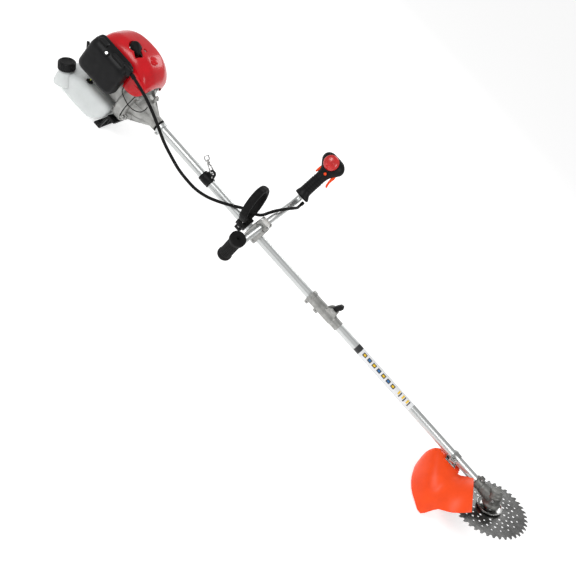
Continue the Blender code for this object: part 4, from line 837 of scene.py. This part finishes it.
def makeHanger():
    x = hanger["x"]
    bm = bmesh.new()
    outline = [
        (snug, -0.02), (0.0172, -0.02), (0.0178, -0.016), (0.0166, -0.013), (0.0178, -0.01), (0.0178, 0.01),
        (0.0166, 0.013), (0.0178, 0.016), (0.0172, 0.02), (snug, 0.02),
    ]
    addTurned(bm, outline, (x, 0, 0), xAxis, 0.0008, 56)
    ear = [(-0.014, 0.0145), (0.017, 0.0145), (0.013, 0.034), (0.006, 0.04), (-0.004, 0.04), (-0.01, 0.034)]
    part = bmesh.new()
    addPlate(part, ear, 0.007, Matrix.Translation((x, 0, 0)) @ sidePlace(0), 0.0016)
    piece = meshObject("ear", part)
    carve(piece, addRod, 0.0055, (x + 0.001, -0.02, 0.03), (x + 0.001, 0.02, 0.03), 0.0001, 32)
    taken(piece, bm)
    makeNode("hanger_clamp", bm)
    bm = bmesh.new()
    addBolt(bm, (x + 0.009, -0.0035, 0.0205), -yAxis, 0.0024, 0.0018)
    addBolt(bm, (x + 0.009, 0.0035, 0.0205), yAxis, 0.0024, 0.0018)
    make("hanger_bolt", bm, "zincSteel")
    bm = bmesh.new()
    route = [
        hookPoint(d, s) for d, s in (
            (0.02, -0.0088), (0.01, -0.0092), (0.0025, -0.0068), (-0.0005, 0.0), (0.0025, 0.0068),
            (0.01, 0.0092), (0.023, 0.0068), (0.03, 0.0), (0.04, 0.0),
        )
    ]
    addTube(bm, smoothRoute(route, 0.0018), 0.0023, 5)
    collar = [
        (0, 0.0315), (0.0048, 0.0315), (0.005, 0.0375), (0.0036, 0.0395), (0.005, 0.0415), (0.0046, 0.0455),
        (0, 0.0455),
    ]
    addTurned(bm, collar, hookPoint(0), hanger["lean"], 0.0008, 32)
    centre = hookPoint(0.05)
    corners = [(-0.007, -0.013), (-0.007, 0.013), (0.007, 0.013), (0.007, -0.013)]
    ring = []
    for number, (along, side) in enumerate(corners):
        here = Vector((along, side))
        before, after = Vector(corners[number - 1]), Vector(corners[(number + 1) % 4])
        for share in (0.0, 0.5, 1.0):
            a = here + (before - here).normalized() * 0.003
            b = here + (after - here).normalized() * 0.003
            spot = a.lerp(here, share).lerp(here.lerp(b, share), share)
            ring.append(centre + hanger["lean"] * spot.x + yAxis * spot.y)
    addTube(bm, ring, 0.002, 5, True)
    makeNode("snap_hook", bm, "hook")
    bm = bmesh.new()
    addRod(bm, 0.0018, hookPoint(0.0208, -0.0088), hookPoint(0.0328, -0.0072), 0.0005, 20)
    addRod(bm, 0.0026, hookPoint(0.031, -0.0074), hookPoint(0.0338, -0.0071), 0.0005, 20)
    makeNode("snap_gate", bm, "hook_gate")


# Loop handle and its clamp
loop = dict(x=0.536, lean=radians(14), width=0.058, height=0.056, centre=0.07,
            steps=96, corners=20, wide=0.0125, thick=0.0088, ripple=0.0007)


def addHalfRing(bm, outline, side, x):
    part = bmesh.new()
    points = [
        part.verts.new((along, side * radius, side * 0.0003)) for radius, along in softened(outline, 0.0012)
    ]
    face = part.faces.new(points)
    bmesh.ops.spin(part, geom=[face], cent=(0, 0, 0), axis=(1, 0, 0), angle=pi, steps=32)
    pour(bm, part, Matrix.Translation((x, 0, 0)))


def makeLoopHandle():
    x = loop["x"]
    place = Matrix.Translation((x, 0, 0)) @ Matrix.Rotation(-loop["lean"], 4, "Y")
    part = bmesh.new()
    rings = []
    steps, corners = loop["steps"], loop["corners"]
    for number in range(steps):
        turn = 2 * pi * number / steps
        out = Vector((0, cos(turn), sin(turn)))
        centre = Vector((0, loop["width"] * out.y, loop["centre"] + loop["height"] * out.z))
        upper = sin(turn) > -0.35
        ripple = loop["ripple"] * cos(number * pi / 2) if upper else 0.0
        section = []
        for corner in range(corners):
            angle = 2 * pi * corner / corners
            wide = loop["wide"] * copysign(abs(cos(angle)) ** 0.75, cos(angle))
            thick = (loop["thick"] + ripple) * copysign(abs(sin(angle)) ** 0.85, sin(angle))
            section.append(part.verts.new(centre + out * thick + xAxis * wide))
        rings.append([part.edges.new(pair) for pair in zip(section, section[1:] + section[:1])])
    for first, second in zip(rings, rings[1:] + rings[:1]):
        bmesh.ops.bridge_loops(part, edges=first + second)
    bm = bmesh.new()
    pour(bm, part, place)
    piece = meshObject("loop_handle_fine", bm)
    carve(piece, addRod, 0.0145, (x - 0.05, 0, 0), (x + 0.05, 0, 0), 0.0001, 56)
    carve(piece, addBox, (x - 0.06, -0.1, -0.05), (x + 0.06, 0.1, 0.0004), 0.0002)
    bm = taken(piece)
    half = [(snug, -0.018), (0.0235, -0.018), (0.0235, 0.018), (snug, 0.018)]
    addHalfRing(bm, half, 1, x)
    for side in (-1, 1):
        addLug(bm, side * 0.0265, 0.0045, (x - 0.01, 0.0004), (x + 0.01, 0.01), 0.0016)
    makeNode("loop_handle", bm, angle=60)
    bm = bmesh.new()
    addHalfRing(bm, half, -1, x)
    for side in (-1, 1):
        addLug(bm, side * 0.026, 0.0042, (x - 0.01, -0.01), (x + 0.01, -0.0008), 0.0016)
    addBox(bm, (x - 0.012, -0.014, -0.034), (x + 0.012, 0.014, -0.021), 0.003)
    makeNode("loop_clamp_cap", bm)
    bm = bmesh.new()
    for side in (-1, 1):
        addSocketScrew(bm, (x, side * 0.0265, 0.01), zAxis, 0.0032, 0.003)
        addBolt(bm, (x, side * 0.026, -0.01), -zAxis, 0.003, 0.0026)
    make("loop_clamp_screws", bm, "zincSteel")


# Handlebar, its clamp and the grips
bar = dict(x=0.584, radius=0.011, rise=0.038, gripY=0.277, gripZ=0.054, tilt=radians(65), plain=0.115)


def gripPoint(side, distance, forward=0.0, out=0.0):
    along = Vector((0, side * cos(bar["tilt"]), sin(bar["tilt"])))
    away = Vector((0, side * sin(bar["tilt"]), -cos(bar["tilt"])))
    return Vector(
        (bar["x"], side * bar["gripY"], bar["gripZ"])
    ) + along * distance + xAxis * forward + away * out


def makeHandlebar():
    x, rise = bar["x"], bar["rise"]
    half = [gripPoint(1, height) for height in (0.07, 0.035, 0.012, -0.002, -0.008)]
    half += [Vector((x, y, z)) for y, z in (
        (0.2645, 0.037), (0.248, 0.032), (0.222, 0.032), (0.12, rise - 0.002), (0.05, rise), (0.02, rise))]
    route = half + [Vector((point.x, -point.y, point.z)) for point in reversed(half)]
    bm = bmesh.new()
    addTube(bm, smoothRoute(route, 0.006), bar["radius"], 10)
    makeNode("handlebar", bm, angle=50)
    for name, low, high in (
        ("handlebar_clamp_base", (x - 0.022, -0.019, -0.021), (x + 0.022, 0.019, rise - 0.0005)),
        ("handlebar_clamp_cap", (x - 0.02, -0.019, rise + 0.0005), (x + 0.02, 0.019, rise + 0.018)),
    ):
        part = bmesh.new()
        addBox(part, low, high, 0.004)
        piece = meshObject(name + "_fine", part)
        for start, end, radius in (
            ((x - 0.05, 0, 0), (x + 0.05, 0, 0), snug), ((x, -0.05, rise), (x, 0.05, rise), 0.0113),
        ):
            carve(piece, addRod, radius, start, end, 0.0001, 48)
        tool = bmesh.new()
        addBox(tool, (x - 0.05, -0.001, -0.03), (x + 0.05, 0.001, -0.01), 0.0002)
        for side in (-1, 1):
            addLug(tool, side * 0.0195, 0.004, (x - 0.0125, -0.03), (x + 0.0125, rise - 0.012), 0.001)
        cut(piece, tool)
        settle(edged(piece, 0.0008), "castMetal", nodes=(name,))
    bm = bmesh.new()
    for side in (-1, 1):
        for shift in (-0.016, 0.016):
            addSocketScrew(bm, (x + shift, side * 0.0125, rise + 0.0178), zAxis, 0.0034, 0.003)
    addBolt(bm, (x - 0.014, -0.019, -0.015), -yAxis, 0.0032, 0.003)
    addBolt(bm, (x + 0.014, -0.019, -0.015), -yAxis, 0.0032, 0.003)
    make("handlebar_clamp_screws", bm, "zincSteel")


def makePlainGrip():
    length = bar["plain"]
    outline = [(0.0113, 0.0), (0.02, 0.0), (0.0212, 0.003), (0.0212, 0.009), (0.018, 0.014)]
    start, pitch = 0.018, 0.0078
    for number in range(10):
        low = start + number * pitch
        outline += [(0.0172, low), (0.0188, low + 0.0022), (0.0188, low + 0.0052), (0.0172, low + 0.0074)]
    outline += [
        (0.0232, length - 0.014), (0.0236, length - 0.003), (0.0205, length), (0.006, length),
        (0.005, length - 0.003), (0.0025, length - 0.003), (0.0025, length - 0.006), (0.0113, length - 0.008),
    ]
    bm = bmesh.new()
    addTurned(bm, outline, gripPoint(-1, 0), gripPoint(-1, 1) - gripPoint(-1, 0), 0.001, 64)
    makeNode("plain_grip", bm, angle=50)


throttle = dict(
    sections=(
        (0.0, 0.025, 0.026, 0.0195), (0.003, 0.027, 0.029, 0.0212), (0.009, 0.027, 0.03, 0.0212),
        (0.02, 0.0242, 0.019, 0.0188), (0.026, 0.0236, 0.0176, 0.0183), (0.06, 0.0238, 0.0172, 0.0182),
        (0.1, 0.0232, 0.0176, 0.0181), (0.116, 0.0262, 0.0225, 0.0188), (0.126, 0.036, 0.0305, 0.0212),
        (0.136, 0.047, 0.037, 0.0238), (0.15, 0.053, 0.0415, 0.025), (0.162, 0.0522, 0.0385, 0.0238),
        (0.171, 0.046, 0.031, 0.0196), (0.177, 0.037, 0.022, 0.0145), (0.18, 0.027, 0.013, 0.0095),
    ),
    dome=(0.151, -0.013, -0.016),
)


gripOut = gripPoint(1, 0, 0, 1) - gripPoint(1, 0)
gripUp = gripPoint(1, 1) - gripPoint(1, 0)


def gripFrame(forward, *axes):
    return Matrix.Translation(gripPoint(1, 0, forward)) @ Matrix(axes).transposed().to_4x4()


def addInHandle(bm, low, high, rear, front, half, edge):
    addBox(bm, (rear, -half, low), (front, half, high), edge, gripFrame(0, xAxis, gripOut, gripUp))


def addLever(bm, outline, half, edge):
    addPlate(bm, outline, 2 * half, gripFrame(0, gripUp, xAxis, gripOut), edge)


def makeThrottle():
    rings = []
    for distance, rear, front, half in throttle["sections"]:
        middle, reach = (front - rear) / 2, (front + rear) / 2
        rings.append([
            gripPoint(1, distance, middle + reach * cos(turn), half * sin(turn))
            for turn in (2 * pi * number / 28 for number in range(28))
        ])
    bm = bmesh.new()
    addLoft(bm, rings)
    piece = smoothed(meshObject("throttle_handle_fine", bm), 1)
    carve(piece, addInHandle, 0.0765, 0.14, 0.004, 0.07, 0.006, 0.0008)
    carve(piece, addInHandle, 0.0765, 0.14, -0.07, -0.004, 0.006, 0.0008)
    inward = gripPoint(1, 0, 0, -1) - gripPoint(1, 0)
    carve(
        piece, addTurned, [(0, -0.004), (0.0275, -0.004), (0.0275, 0.02), (0, 0.02)],
        gripPoint(1, *throttle["dome"]), inward, 0.0003, 56,
    )
    settle(edged(piece, 0.0006, 2, 50), "blackPlastic", nodes=("throttle_handle",), angle=50)
    ribs = bmesh.new()
    for number in range(7):
        low = 0.03 + number * 0.0085
        outline = [(0.0165, low), (0.019, low + 0.0012), (0.019, low + 0.0032), (0.0165, low + 0.0044)]
        part = bmesh.new()
        addTurned(part, outline, (0, 0, 0), zAxis, 0.0006, 40)
        place = gripFrame(-0.0032, xAxis, gripOut, gripUp)
        pour(ribs, part, place @ Matrix.Diagonal((1.1, 0.985, 1, 1)))
    make("throttle_grip_ribs", ribs, "blackRubber")
    bm = bmesh.new()
    dome = [
        (0, -0.004), (0.0262, -0.004), (0.027, 0.003), (0.0252, 0.0072), (0.0205, 0.0108), (0.014, 0.0132),
        (0.007, 0.0146), (0, 0.015),
    ]
    addTurned(bm, dome, gripPoint(1, *throttle["dome"]), inward, 0.0016, 64)
    addTurned(
        bm, [(0, 0.01), (0.0052, 0.01), (0.0046, 0.0165), (0, 0.017)], gripPoint(1, 0.1535, -0.006, -0.016),
        inward, 0.001, 32,
    )
    make("throttle_dome_fine", bm, "redSatin", nodes=("throttle_dome",), angle=60)
    bm = bmesh.new()
    for distance, forward in ((0.138, -0.0205), (0.164, -0.0205)):
        addSocketScrew(bm, gripPoint(1, distance, forward, -0.0245), inward, 0.0026, 0.0024)
    make("throttle_dome_screws", bm, "blackPlastic")
    trigger = [
        (0.133, 0.018), (0.1365, 0.0205), (0.1375, 0.024), (0.136, 0.028), (0.133, 0.03), (0.127, 0.0326),
        (0.12, 0.0336), (0.11, 0.0326), (0.1, 0.0328), (0.093, 0.0345), (0.086, 0.0372), (0.0828, 0.0368),
        (0.082, 0.0335), (0.085, 0.03), (0.09, 0.027), (0.105, 0.024), (0.12, 0.022),
    ]
    bm = bmesh.new()
    addLever(bm, trigger, 0.005, 0.0014)
    makeNode("throttle_trigger", bm, "trigger")
    lock = [
        (0.133, -0.018), (0.1365, -0.0205), (0.1375, -0.024), (0.133, -0.029), (0.118, -0.0314),
        (0.106, -0.0318), (0.098, -0.0316), (0.0936, -0.03), (0.0934, -0.0276), (0.1, -0.024), (0.12, -0.021),
    ]
    bm = bmesh.new()
    addLever(bm, lock, 0.005, 0.0014)
    makeNode("lockout_lever", bm, "lockout")
    bm = bmesh.new()
    addTurned(
        bm, [(0, 0), (0.005, 0), (0.005, 0.0035), (0.0034, 0.0055), (0, 0.0058)],
        gripPoint(1, 0.112, 0, -0.0195), inward, 0.0008, 32,
    )
    makeNode("stop_switch", bm, "switch")


# Throttle cable's sleeve and the stop wire
cables = dict(
    sleeve=(
        (0.004, -0.1, 0.112), (0.04, -0.0985, 0.1035), (0.083, -0.0965, 0.0915), (0.13, -0.095, 0.072),
        (0.168, -0.09, 0.05), (0.204, -0.085, 0.029), (0.247, -0.08, 0.011), (0.297, -0.07, -0.008),
        (0.357, -0.056, -0.019), (0.401, -0.045, -0.0145), (0.44, -0.032, -0.001), (0.474, -0.018, 0.015),
        (0.503, -0.004, 0.03), (0.53, 0.007, 0.036), (0.548, 0.022, 0.0385), (0.558, 0.045, 0.0395),
        (0.563, 0.07, 0.042), (0.572, 0.095, 0.052), (0.582, 0.118, 0.059), (0.592, 0.146, 0.062),
        (0.601, 0.185, 0.057), (0.606, 0.225, 0.046), (0.6052, 0.257, 0.04), (0.6052, 0.2742, 0.048),
    ),
    wire=(
        (0.006, -0.09, 0.056), (0.012, -0.094, 0.044), (0.028, -0.096, 0.036), (0.052, -0.096, 0.029),
        (0.076, -0.096, 0.032), (0.094, -0.096, 0.044), (0.101, -0.096, 0.06), (0.1015, -0.095, 0.074),
    ),
)


def makeCables():
    bm = bmesh.new()
    addTube(bm, smoothRoute(cables["sleeve"], 0.006), 0.005, 6)
    along = Vector(cables["sleeve"][1]) - Vector(cables["sleeve"][0])
    addRod(
        bm, 0.0064, cables["sleeve"][0], Vector(cables["sleeve"][0]) + along.normalized() * 0.016, 0.001, 32,
    )
    end = Vector(cables["sleeve"][-1])
    addRod(bm, 0.0062, Vector(cables["sleeve"][-2]).lerp(end, 0.45), end, 0.001, 32)
    makeNode("throttle_conduit", bm, angle=60)
    bm = bmesh.new()
    addTube(bm, smoothRoute(cables["wire"], 0.003), 0.0015, 4)
    makeNode("stop_wire", bm, angle=60)


# Coupling
coupling = dict(span=(0.84, 0.9735), pivot=(0.9245, 0.0285))


def makeCoupling():
    rear, front = coupling["span"]
    bm = bmesh.new()
    outline = [
        (snug, rear), (0.0215, rear), (0.0215, rear + 0.012), (0.0185, rear + 0.016), (0.0185, front - 0.031),
        (0.0165, front - 0.027), (0.0165, front - 0.006), (0.0172, front - 0.004), (0.0172, front),
        (snug, front),
    ]
    addTurned(bm, outline, (0, 0, 0), xAxis, 0.001, 64)
    cheek = [
        (0.9025, 0.013), (0.9425, 0.013), (0.94, 0.028), (0.934, 0.0345), (0.917, 0.0345), (0.909, 0.028),
    ]
    for side in (-1, 1):
        addPlate(bm, cheek, 0.006, sidePlace(side * 0.011), 0.0012)
        addLug(bm, side * 0.004, 0.0028, (rear + 0.002, -0.0285), (rear + 0.014, -0.016), 0.001)
        addLug(bm, side * 0.004, 0.0028, (0.88, -0.0265), (0.896, -0.015), 0.001)
    makeNode("coupling_body", bm)
    bm = bmesh.new()
    pivot = Vector((coupling["pivot"][0], 0, coupling["pivot"][1]))
    for side in (-1, 1):
        addBolt(bm, pivot + yAxis * side * 0.014, yAxis * side, 0.0034, 0.0028)
    for x, z in ((rear + 0.008, -0.0235), (0.888, -0.0215)):
        addSocketScrew(bm, (x, -0.0068, z), -yAxis, 0.003, 0.003)
        addBolt(bm, (x, 0.0068, z), yAxis, 0.0028, 0.0024)
    make("coupling_bolts", bm, "zincSteel")
    heel = [(0.009 * cos(radians(a)), 0.009 * sin(radians(a))) for a in range(150, 391, 20)]
    heel += [
        (0.0125, 0.018), (0.015, 0.0265), (0.0125, 0.0315), (0.009, 0.033), (0.001, 0.031), (-0.0045, 0.02),
        (-0.007, 0.012),
    ]
    bm = bmesh.new()
    addPlate(bm, heel, 0.015, Matrix.Translation((pivot.x, 0, pivot.z)) @ sidePlace(0), 0.0016)
    for number in range(3):
        low = 0.016 + number * 0.0045
        addBox(
            bm, (pivot.x + 0.01 + number * 0.0008, -0.0055, pivot.z + low),
            (pivot.x + 0.0142 + number * 0.0008, 0.0055, pivot.z + low + 0.0022), 0.0006,
        )
    makeNode("coupling_lever", bm, "quick_lever")


# Guard and its bracket
guard = dict(
    wall=0.0028, bulge=0.16, bracketX=1.513,
    columns=(
        ((1.594, -0.024, 0.012), (1.638, -0.125, -0.007)), ((1.577, -0.024, -0.003), (1.617, -0.142, -0.026)),
        ((1.567, -0.023, -0.016), (1.596, -0.15, -0.049)), ((1.556, -0.021, -0.023), (1.572, -0.145, -0.076)),
        ((1.545, -0.018, -0.023), (1.556, -0.146, -0.1352)),
        ((1.528, -0.014, -0.023), (1.528, -0.13, -0.1352)),
        ((1.508, -0.01, -0.023), (1.5, -0.102, -0.1352)), ((1.488, -0.006, -0.023), (1.482, -0.062, -0.1352)),
        ((1.47, 0.0, -0.023), (1.474, 0.0, -0.1352)),
    ),
)


def makeGuard():
    rows = 14
    near = [(Vector(top), Vector(bottom)) for top, bottom in guard["columns"]]
    flip = Matrix.Scale(-1, 3, yAxis)
    pairs = near + [(flip @ top, flip @ bottom) for top, bottom in reversed(near[4:-1])]
    grid = []
    for top, bottom in pairs:
        span = bottom - top
        out = Vector((-0.45, 1.0 if bottom.y > 0 else -1.0, 0.75)) if bottom.y else Vector((-1, 0, 0.4))
        out.normalize()
        grid.append([
            top + span * share + out * guard["bulge"] * span.length * sin(pi * share**0.8)
            for share in (row / (rows - 1) for row in range(rows))
        ])
    fine = [smoothRoute([column[row] for column in grid], 0.009) for row in range(rows)]
    count = min(len(line) for line in fine)
    part = bmesh.new()
    lines = []
    for line in fine:
        picked = [line[round(number * (len(line) - 1) / (count - 1))] for number in range(count)]
        verts = [part.verts.new(point) for point in picked]
        lines.append([part.edges.new(pair) for pair in zip(verts, verts[1:])])
    for first, second in zip(lines, lines[1:]):
        bmesh.ops.bridge_loops(part, edges=first + second)
    piece = walled(meshObject("guard_fine", part), guard["wall"])
    settle(edged(piece, 0.0007, 3, 50), "orangePlastic", "lower_unit", ("guard",), angle=60)
    bm = bmesh.new()
    addBox(bm, (1.492, -0.02, -0.0268), (1.54, 0.02, -0.02), 0.0015)
    for y in (-0.014, -0.0047, 0.0047, 0.014):
        addBox(bm, (1.5, y - 0.0012, -0.036), (1.56, y + 0.0012, -0.0235), 0.0006)
    make("guard_shoulder", bm, "orangePlastic", "lower_unit")
    x = guard["bracketX"]
    bm = bmesh.new()
    addRing(bm, 0.0175, snug, (x - 0.012, 0, 0), (x + 0.012, 0, 0), 0.0008)
    addBox(bm, (x - 0.018, -0.02, -0.019), (x + 0.024, 0.02, -0.0158), 0.001)
    for side in (-1, 1):
        addLug(bm, side * 0.0212, 0.005, (x - 0.01, 0.0006), (x + 0.01, 0.0034), 0.0008)
        addLug(bm, side * 0.0212, 0.005, (x - 0.01, -0.0034), (x + 0.01, -0.0006), 0.0008)
        addLug(bm, side * 0.016, 0.0016, (x - 0.01, -0.018), (x + 0.01, -0.002), 0.0008)
    makeNode("guard_bracket", bm, "lower_unit")
    bm = bmesh.new()
    for side in (-1, 1):
        addBolt(bm, (x, side * 0.0215, 0.0034), zAxis, 0.0033, 0.003)
        addBolt(bm, (x + 0.016, side * 0.012, -0.0158), zAxis, 0.003, 0.0026)
    make("guard_bolts", bm, "zincSteel", "lower_unit")


# Gear head, cups and blade
blade = dict(
    radius=0.1275, thick=0.0016, teeth=40, bore=0.0127,
    tooth=(
        (0.0, 0.0), (0.1, 0.0002), (0.34, 0.0022), (0.5, 0.0075), (0.58, 0.01), (0.68, 0.0112), (0.8, 0.0108),
        (0.9, 0.009), (0.95, 0.005),
    ),
    holes=((0.052, 10, 0.0036, 0), (0.066, 20, 0.003, 0), (0.08, 20, 0.0036, 0.5), (0.094, 20, 0.0028, 0)),
)


def makeGearHead():
    bm = bmesh.new()
    head = [
        (0, 0.0165), (0.0255, 0.0165), (0.029, 0.0175), (0.029, 0.0225), (0.024, 0.0255), (0.0225, 0.029),
        (0.0222, 0.048), (0.0235, 0.05), (0.0235, 0.056), (0.0222, 0.058), (0.0215, 0.065), (0.018, 0.0705),
        (0.012, 0.072), (0, 0.072),
    ]
    addTurned(bm, head, headPoint(0), gearAxis, 0.0014, 64)
    neck = [
        (snug, 1.607), (0.0185, 1.607), (0.019, 1.609), (0.019, 1.628), (0.0172, 1.631), (0.0172, 1.636),
        (0.019, 1.642), (0.0205, 1.662), (0.019, 1.69), (0.012, 1.69), (snug, 1.64),
    ]
    addTurned(bm, neck, (0, 0, 0), xAxis, 0.001, 56)
    for side in (-1, 1):
        addLug(bm, side * 0.0042, 0.0028, (1.61, 0.014), (1.625, 0.0265), 0.0012)
        addLug(bm, side * 0.015, 0.0018, (1.64, -0.006), (1.7, 0.01), 0.0012)
    make("gearbox_fine", bm, "darkCast", "lower_unit", ("gearbox_housing",))
    bolts = bmesh.new()
    addSocketScrew(bolts, (1.6175, -0.007, 0.0215), -yAxis, 0.0033, 0.0034)
    addBolt(bolts, (1.6175, 0.007, 0.0215), yAxis, 0.003, 0.0026)
    addSocketScrew(bolts, (1.632, 0, 0.0172), zAxis, 0.003, 0.003)
    plug = headPoint(0.043) + (yAxis * -1) * 0.0222
    addBolt(bolts, plug, -yAxis, 0.0042, 0.003)
    for number in range(3):
        turn = radians(30 + 120 * number)
        side = Matrix.Rotation(turn, 3, gearAxis) @ yAxis
        addSocketScrew(bolts, headPoint(0.0715) + side * 0.0125, gearAxis, 0.0019, 0.0016)
    make("gearbox_screws", bolts, "zincSteel", "lower_unit")
    bm = bmesh.new()
    cup = [
        (0.0053, -0.0006), (0.0124, -0.0006), (0.0124, 0.0011), (0.03, 0.0011), (0.0385, 0.0026),
        (0.0405, 0.005),
        (0.041, 0.0105), (0.0385, 0.0105), (0.0378, 0.0056), (0.03, 0.004), (0.015, 0.004), (0.015, 0.013),
        (0.0053, 0.013),
    ]
    addTurned(bm, cup, headPoint(0), gearAxis, 0.0008, 64)
    makeNode("blade_holder", bm, "blade_spindle")
    bm = bmesh.new()
    cup = [
        (0.0053, -0.0011), (0.024, -0.0011), (0.025, -0.005), (0.021, -0.0066), (0.013, -0.0072),
        (0.0053, -0.0072),
    ]
    addTurned(bm, cup, headPoint(0), gearAxis, 0.0008, 56)
    nut = bmesh.new()
    bmesh.ops.create_cone(nut, cap_ends=True, segments=6, radius1=0.0115, radius2=0.0115, depth=0.006)
    bevelAll(nut, 0.0008, 2)
    pour(bm, nut, axisFrame(headPoint(-0.01), gearAxis))
    makeNode("blade_nut", bm, "blade_spindle")


def makeBlade():
    pitch = 2 * pi / blade["teeth"]
    outline = []
    for number in range(blade["teeth"]):
        for share, depth in blade["tooth"]:
            turn, radius = (number + share) * pitch, blade["radius"] - depth
            outline.append((radius * cos(turn), radius * sin(turn)))
    bm = bmesh.new()
    addPlate(bm, outline, blade["thick"], axisFrame((0, 0, 0), zAxis), 0.0)
    piece = meshObject("blade_fine", bm)
    tool = bmesh.new()
    addRod(tool, blade["bore"], (0, 0, -0.01), (0, 0, 0.01), 0.0001, 56)
    for ring, count, radius, shift in blade["holes"]:
        for number in range(count):
            turn = 2 * pi * (number + shift) / count
            spot = Vector((ring * cos(turn), ring * sin(turn), 0))
            addRod(tool, radius, spot - zAxis * 0.01, spot + zAxis * 0.01, 0.0001, 20)
    cut(piece, tool)
    edged(piece, 0.00022, 1, 60)
    piece.data.transform(axisFrame(headPoint(0), gearAxis))
    settle(piece, "bladeSteel", "blade_spindle", ("blade",), angle=30)
    tips = bmesh.new()
    for number in range(blade["teeth"]):
        turn = (number + 0.03) * pitch
        place = axisFrame(headPoint(0), gearAxis) @ Matrix.Rotation(turn, 4, "Z")
        addBox(tips, (0.122, -0.0004, -0.00115), (0.1272, 0.002, 0.00115), 0.0003, place)
    make("blade_tips", tips, "bareSteel", "blade_spindle")


for builder in (
    makeHood, makePlugCap, makeFilterCover, makeHousings, makeTank, makeCollar, makeTubes, makeHanger,
    makeLoopHandle, makeHandlebar, makePlainGrip, makeThrottle, makeCables, makeCoupling, makeGuard,
    makeGearHead, makeBlade,
):
    builder()
    print(builder.__name__, "done")

# The rest of the CAD keeps its shape and takes a finish
for node, piece in frame["nodes"].items():
    for place in piece.material_slots:
        place.material = finishes[slotFinish[nodeSlots[node]]]
print("finishes assigned")


# Floor, light and camera
studio = dict(
    floor=(0.8, 0.8, 0.8), glow=0.52, world=0.52,
    lights=(
        ("keyLight", (-0.9, -2.0, 2.6), (0.3, 0, 0.1), 1.3, 42),
        ("sideLight", (2.6, -1.2, 1.8), (1.0, 0, 0.1), 1.0, 18),
        ("rimLight", (0.4, 2.4, 1.8), (0.6, 0, 0.1), 1.2, 20),
    ),
)
view = dict(
    lens=52.49, sensor=36, shiftX=0.0066, shiftY=-0.0384, rise=32.5, roll=48.2, spot=(0.72, -2.193, 1.537),
)


def makeStudio():
    bm = bmesh.new()
    bmesh.ops.create_grid(bm, x_segments=2, y_segments=2, size=30)
    floor = meshObject("studio_floor", bm)
    paint = bpy.data.materials.new("floorPaint")
    paint.use_nodes = True
    shader = paint.node_tree.nodes["Principled BSDF"]
    for name, value in (
        ("Base Color", (*studio["floor"], 1)), ("Roughness", 0.9), ("Specular IOR Level", 0.1),
        ("Emission Color", (1, 1, 1, 1)), ("Emission Strength", studio["glow"]),
    ):
        shader.inputs[name].default_value = value
    floor.data.materials.append(paint)
    floor.location = (0, 0, -0.0005)
    world = bpy.data.worlds.new("studio")
    world.use_nodes = True
    world.node_tree.nodes["Background"].inputs[0].default_value = (1, 1, 1, 1)
    world.node_tree.nodes["Background"].inputs[1].default_value = studio["world"]
    bpy.context.scene.world = world
    bpy.context.scene.view_settings.view_transform = "Standard"
    for name, spot, aim, size, power in studio["lights"]:
        data = bpy.data.lights.new(name, "AREA")
        data.size = size
        data.energy = power
        light = bpy.data.objects.new(name, data)
        light.location = spot
        light.rotation_euler = (Vector(aim) - Vector(spot)).to_track_quat("-Z", "Y").to_euler()
        bpy.context.collection.objects.link(light)


def makeCamera():
    data = bpy.data.cameras.new("mainCamera")
    data.lens = view["lens"]
    data.sensor_width = view["sensor"]
    data.shift_x = view["shiftX"]
    data.shift_y = view["shiftY"]
    rise, roll = radians(view["rise"]), radians(view["roll"])
    upward = Vector((0, sin(rise), cos(rise)))
    right = cos(roll) * xAxis + sin(roll) * upward
    up = -sin(roll) * xAxis + cos(roll) * upward
    back = Vector((0, -cos(rise), sin(rise)))
    camera = bpy.data.objects.new("mainCamera", data)
    camera.matrix_world = Matrix.Translation(view["spot"]) @ Matrix((right, up, back)).transposed().to_4x4()
    bpy.context.collection.objects.link(camera)
    bpy.context.scene.camera = camera


makeStudio()
makeCamera()
print("studio set")
